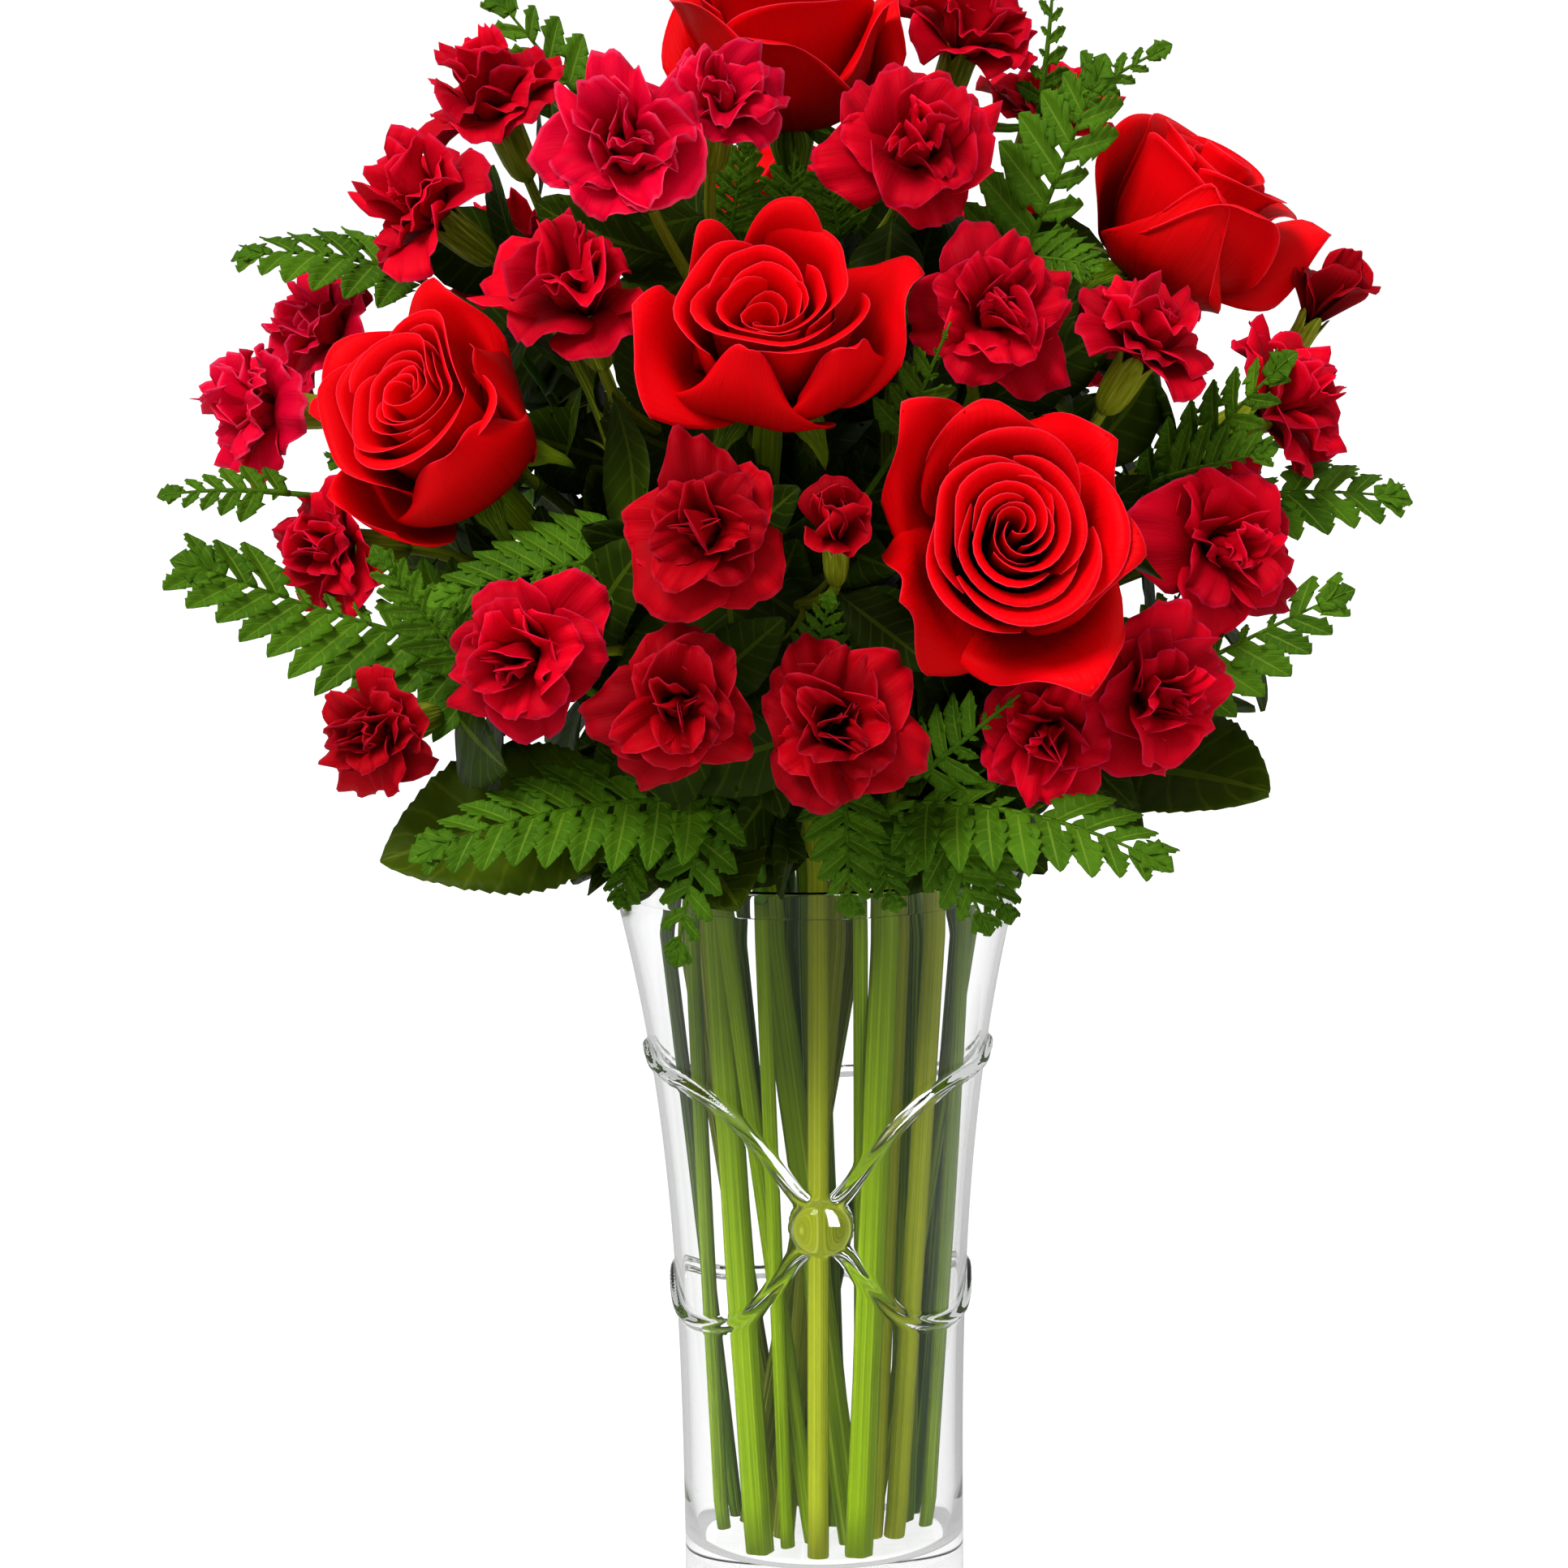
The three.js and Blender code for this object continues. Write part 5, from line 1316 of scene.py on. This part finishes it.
# %% Broad leaves
LEAFY_STEMS = {
    # place at the mouth, top of the stem, and each leaf's share of the stem, tip, facing and half width
    "left": ([-27, -38], [-50, -58, 250], [
        (0.9, [-123, -74, 235], [-0.2, -0.78, 0.6], 27), (1, [-110, -50, 244], [-0.4, -0.5, 0.75], 20),
        (0.6, [-22, -90, 223], [0.05, -0.85, 0.5], 19)]),
    "right": ([43, 20], [66, 14, 250], [
        (0.9, [130, -48, 247], [0.25, -0.78, 0.58], 27), (1, [132, 18, 262], [0.5, 0, 0.85], 24),
        (0.75, [96, 66, 240], [0.3, 0.5, 0.8], 25)]),
    "back": ([-2, 46], [-30, 76, 304], [
        (0.35, [-66, 98, 232], [-0.1, 0.6, 0.8], 25), (0.3, [64, 104, 236], [0.1, 0.6, 0.8], 25),
        (0.7, [-104, 70, 268], [-0.4, 0.4, 0.8], 22), (0.85, [-40, 128, 274], [-0.1, 0.7, 0.7], 23),
        (1, [-44, 112, 366], [-0.1, 0.98, 0.1], 20)]),
}
LEAF_STALK = 0.1
VEINS = 9


def leaf_grid(base, tip, face, wide, teeth=20, rows=61, cols=9, arch=0.06):
    """A leaf's grid: a blade frame, an oval half width with saw teeth, a fold and quilted veins."""
    s = np.linspace(0, 1, rows)
    at, along, sideways, facing = blade_frame(base, tip, face, arch * np.linalg.norm(np.array(tip) - base), s)
    share = np.clip((s - LEAF_STALK) / (1 - LEAF_STALK), 0, 1)
    oval = np.sin(np.pi * share ** 0.85).clip(0) ** 0.7 * (1 - 0.12 * share)
    saw = 1 - 0.07 * ((share * teeth) % 1) * smooth(share, 0.02, 0.1)
    half = np.maximum(0.8, wide * oval * saw)[:, None]
    share = share[:, None]
    w = np.linspace(-1, 1, cols)[None, :]
    vein = np.cos(TURN * VEINS * (share - 0.16 * np.abs(w)))
    lift = 0.18 * np.abs(w) * half + 0.35 * vein * smooth(half, 2, 10) * np.sin(np.pi * np.abs(w)) ** 2
    lift = lift + 0.05 * wide * np.sin(7 * share + 2 * w) * np.abs(w) ** 2 * smooth(share, 0, 0.3)
    return at[:, None] + (half * w)[..., None] * sideways[:, None] + lift[..., None] * facing[:, None]


def leafy_part(mouth, top, leaves):
    """A stem that bends out over the rim, with its broad leaves."""
    top, at_mouth = np.array(top, float), on_mouth(mouth)
    _, dry = stem_line(free_foot(mouth, STEM["leafy"] + 0.3), at_mouth, top, unit(top - at_mouth), 16)
    parts = [tube(dry, STEM["leafy"], SIDES["leafy"], 0.2)]
    for share, tip, face, wide in leaves:
        base, _ = point_at(dry, min(share, 0.995))
        parts.append(sheets(leaf_grid(base, tip, face, wide)[None], THICK["broad_leaf"], rng.random(1)))
    return gathered(parts)


for name, plan in LEAFY_STEMS.items():
    part = leafy_part(*plan)
    solid = "leafy_stem_" + name
    piece("leafy_stem_with_leaves_" + name, part, COLLAR_GREEN, "broad_leaf", solid, merge=True)
piece("standing_stems_of_ferns_and_leaves", gathered(thin_stems), ROSE_STEM, "rose_stem", merge=True)
print("thin stems:", len(thin_stems))

# %% [markdown]
# Short pieces of fern are tucked between the blooms last, where a gap shows. Each is pushed in so
# that its stalk meets the nearest stem.

# %% Fern pieces between the blooms
TUCKED = {
    # foot, tip, facing and widest leaflet
    "under_left_rose": ([-48, -84, 322], [-104, -104, 312], [-0.1, -0.8, 0.6], 24),
    "far_left": ([-148, -50, 337], [-182, -60, 338], [-0.1, -0.9, 0.45], 11),
    "by_front_rose": ([24, -84, 352], [38, -100, 386], [0.1, -1, 0.2], 13),
    "over_low_left": ([-96, -80, 290], [-120, -92, 324], [-0.3, -0.9, 0.3], 14),
    "top_right": ([68, 6, 437], [104, -2, 458], [0.1, -1, 0.3], 10),
    "top_right_up": ([68, 6, 440], [72, 0, 478], [0.1, -1, 0.2], 9),
    "under_low_rose": ([30, -76, 258], [56, -104, 284], [0.2, -0.9, 0.4], 17),
    "by_bud": ([0, -88, 290], [4, -112, 312], [0, -1, 0.2], 11),
    "middle_low": ([8, -72, 254], [9, -84, 220], [0, -0.95, 0.3], 16),
    "right_between": ([100, -50, 338], [128, -62, 346], [0.3, -0.9, 0.3], 16),
    "right_gap": ([84, -50, 274], [104, -64, 308], [0.3, -0.9, 0.3], 15),
    "over_right_rose": ([60, -40, 400], [80, -58, 398], [0.3, -0.9, 0.3], 14),
    "under_top_left": ([-22, -34, 408], [-17, -40, 434], [0, -1, 0.2], 12),
    "under_top_right": ([9, -30, 406], [5, -36, 430], [0, -1, 0.2], 12),
    "under_top": ([-6, -24, 404], [-3, -28, 432], [0, -1, 0.1], 16),
    "rim_right": ([40, -66, 244], [54, -74, 216], [0.2, -0.95, 0.2], 14),
    "rim_middle": ([14, -64, 246], [22, -70, 219], [0, -0.97, 0.2], 13),
    "rim_left": ([-46, -60, 244], [-56, -72, 222], [-0.3, -0.95, 0.2], 14),
    "back_middle": ([-30, 90, 336], [-70, 112, 344], [-0.3, 0.9, 0.3], 22),
    "back_side": ([40, 84, 350], [76, 104, 340], [0.3, 0.9, 0.3], 22),
    "left_side": ([-100, 20, 330], [-140, 20, 340], [-0.7, 0.2, 0.7], 24),
    "right_side": ([104, 20, 330], [140, 26, 340], [0.7, 0.2, 0.7], 24),
}
TUCKED_ARCH = 3
BELOW_FOOT = [0, 0, 20]
ALL_LINES = np.concatenate(list(stem_lines.values()))


def stalk_to(base, ahead):
    """A thin curved stalk to a blade's foot from the stem nearest to a point just below it."""
    nearest = ALL_LINES[np.argmin(np.linalg.norm(ALL_LINES - base + BELOW_FOOT, axis=1))]
    reach = np.linalg.norm(base - nearest)
    line = bezier([nearest, nearest + [0, 0, 0.4 * reach], base - 0.4 * reach * ahead, base], 10)
    return tube(line, 0.9, SIDES["thin"], 0.3)


def tucked_part(base, tip, face, wide):
    """One short blade with its stalk."""
    base = np.array(base, float)
    _, (ahead,), _, _ = blade_frame(base, tip, face, TUCKED_ARCH, [0])
    return gathered([stalk_to(base, ahead), *frond_part(base, tip, face, TUCKED_ARCH, wide, 6.5, 13)])


part = gathered([tucked_part(*plan) for plan in TUCKED.values()])
piece("fern_tips_between_blooms", part, FERN_GREEN, "fern", merge=True)
print("fern tips:", len(TUCKED))

# %% [markdown]
# Inside the bouquet it is dark and crowded: the stems' own leaves fill the gaps, so almost no
# daylight shows through, and their green is near black, as painted shade. They hang on the stems by a
# rule. At steps up each stem a leaf is tried in a drawn direction, lying like a shingle that faces out
# of the bouquet, and kept if it stays clear of every bloom and inside a box round the bouquet.
# Otherwise it is drawn again.

# %% Leaves inside the bouquet
BOX_LOW, BOX_HIGH = np.array([-150, -112, 218]), np.array([145, 128, 458])
TRIES = 16
LEAVES_ON = {"stem": 24, "shoot": 5}
LEAF_SEED = 500


def inner_leaf(at, draw):
    """One leaf that stays clear of the blooms, or None after a number of tries."""
    for _ in range(TRIES):
        outward = unit([at[0] + draw.normal(0, 25), at[1] + draw.normal(0, 25), draw.normal(10, 15)])
        heading = unit(any_way_from(outward, draw) + outward * draw.uniform(0.0, 0.9))
        length = draw.uniform(34, 54)
        tip = at + length * heading
        points = at + np.linspace(0.2, 1.0, 6)[:, None] * (tip - at)
        gap = np.linalg.norm(points[:, None] - MIDDLES, axis=-1) - 0.95 * RADII - 2
        if gap.min() > 0 and (tip > BOX_LOW).all() and (tip < BOX_HIGH).all():
            return leaf_grid(at, tip, outward, 0.27 * length, 7, 15, 5, draw.uniform(-0.1, 0.12))
    return None


def inner_part(line, count, seed):
    """The leaves of one stem, from near its foot to near its top."""
    draw = np.random.default_rng(seed)
    tried = [inner_leaf(point_at(line, share)[0], draw) for share in np.linspace(0.08, 0.92, count)]
    grids = [grid for grid in tried if grid is not None]
    return sheets(np.array(grids), THICK["inner_leaf"], draw.random(len(grids))) if grids else None


leaf_faces = 0
for number, (name, line) in enumerate(stem_lines.items()):
    count = LEAVES_ON["shoot" if name.startswith("shoot") else "stem"]
    part = inner_part(line, count, LEAF_SEED + number)
    if part is not None:
        piece("inner_leaves_" + name, part, INNER_LEAF_SHADE_GREEN, "broad_leaf")
        leaf_faces += len(part[1])
print("faces of inner leaves:", leaf_faces)

# %% [markdown]
# The stage is a plain pale floor and even studio light: a broad soft sun from the front left and
# a bright surround. A photographer keeps dark cards in front of glass, so that no white haze lies
# over what is inside; the surround and the floor do the same here, since they are dimmer as a
# mirror image than as they are seen. One tall window stands in the surround for mirror images
# alone, and draws the bright lines on the threads and the gem. The floor is a long strip, so that
# the sides of the glass meet the surround.

# %% Floor and surround
WINDOW = {"left_edge": (0.35, 0.45), "right_edge": (-1.05, -0.95), "brightness": 180}
FLOOR_X, FLOOR_Y = 0.75, 30


def studio_strength(tree, seen, lighting, mirrored, through_glass):
    """Brightness as seen, as light on the piece, as a mirror image, and through glass.

    Each kind of ray takes off the difference to the brightness as seen; once a ray has been
    mirrored, only the mirror's own difference counts.
    """
    diffuse, through, mirrors = light_path(tree, "Is Diffuse Ray", "Is Transmission Ray", "Glossy Depth")
    reflected = maths("MINIMUM", mirrors, 1)
    dimmed = diffuse * (seen - lighting) + through * (seen - through_glass)
    return seen - (dimmed * (1 - reflected) + reflected * (seen - mirrored))


floor_mesh = bpy.data.meshes.new("floor")
floor_mesh.from_pydata([(x * FLOOR_X, y * FLOOR_Y, 0) for x, y in ((-1, -1), (1, -1), (1, 1), (-1, 1))],
                       [], [(0, 1, 2, 3)])
floor = bpy.data.objects.new("floor", floor_mesh)
bpy.context.scene.collection.objects.link(floor)
floor_finish, floor_tree, floor_shader = new_material("pale_floor")
fill(floor_shader.inputs, {
    "Base Color": (0.2, 0.2, 0.2), "Emission Color": (1, 1, 1), "Roughness": 0.9,
    "Emission Strength": studio_strength(floor_tree, 0.92, 0.6, 0.4, 0.85)})
floor_mesh.materials.append(floor_finish)

world = bpy.data.worlds.new("surround")
bpy.context.scene.world = world
world.use_nodes = True
surround = world.node_tree
split = surround.nodes.new("ShaderNodeSeparateXYZ")
fill(split.inputs, {0: made_node(surround, "TexCoord", "Generated", {})})
azimuth = maths("ARCTAN2", Signal(split.outputs["X"]), Signal(split.outputs["Y"]) * -1)
singular, through = light_path(surround, "Is Singular Ray", "Is Transmission Ray")
window = smooth_step(azimuth, *WINDOW["left_edge"]) * smooth_step(azimuth * -1, *WINDOW["right_edge"])
window_light = window * WINDOW["brightness"] * singular * (1 - through)
fill(surround.nodes["Background"].inputs, {
    "Color": (0.985, 0.98, 1.0),
    "Strength": window_light + studio_strength(surround, 1.05, 0.65, 0.5, 0.55)})
print("brightness of the window:", WINDOW["brightness"])

# %% [markdown]
# The camera stands one and a half metres away, looking down a little, with the long lens that the
# picture was taken with, and rolled by under a degree. It is placed by its three directions, as
# the sun is, because then no turn has to be worked out.

# %% Sun and camera
CAMERA_DISTANCE = 1.5
CAMERA_PITCH = math.radians(8.8)
CAMERA_ROLL = math.radians(0.8)
AIM = np.array([-0.009, 0, 0.244])
SENSOR = 36
LENS_OVER_WIDTH = 6250 / 1932


def stood(name, data, right, above, back, place):
    """An object in the scene, from its three directions and its place."""
    made = bpy.data.objects.new(name, data)
    made.matrix_world = Matrix([*zip(right, above, back, place), (0, 0, 0, 1)])
    bpy.context.scene.collection.objects.link(made)
    return made


def sun(name, azimuth, elevation, strength, angle):
    """A soft sun that shines from an azimuth, counted from the front, and an elevation."""
    lamp = bpy.data.lights.new(name, "SUN")
    lamp.energy = strength
    lamp.angle = math.radians(angle)
    a, e = math.radians(azimuth), math.radians(elevation)
    back = np.array([math.sin(a) * math.cos(e), -math.cos(a) * math.cos(e), math.sin(e)])
    return stood(name, lamp, *across(back), back, back)


sun("key_light", -32, 46, 2.8, 24)
forward = np.array([0, math.cos(CAMERA_PITCH), -math.sin(CAMERA_PITCH)])
level = np.array([[1.0, 0, 0], [0, math.sin(CAMERA_PITCH), math.cos(CAMERA_PITCH)]])
c, s = math.cos(CAMERA_ROLL), math.sin(CAMERA_ROLL)
right, above = np.array([[c, -s], [s, c]]) @ level
place = AIM - CAMERA_DISTANCE * forward
lens = bpy.data.cameras.new("camera")
lens.sensor_width = SENSOR
lens.lens = SENSOR * LENS_OVER_WIDTH
lens.clip_start, lens.clip_end = 0.05, 100
bpy.context.scene.camera = stood("camera", lens, right, above, -forward, place)
bpy.context.scene.view_settings.view_transform = "Standard"
print("camera stands at:", place.round(3))
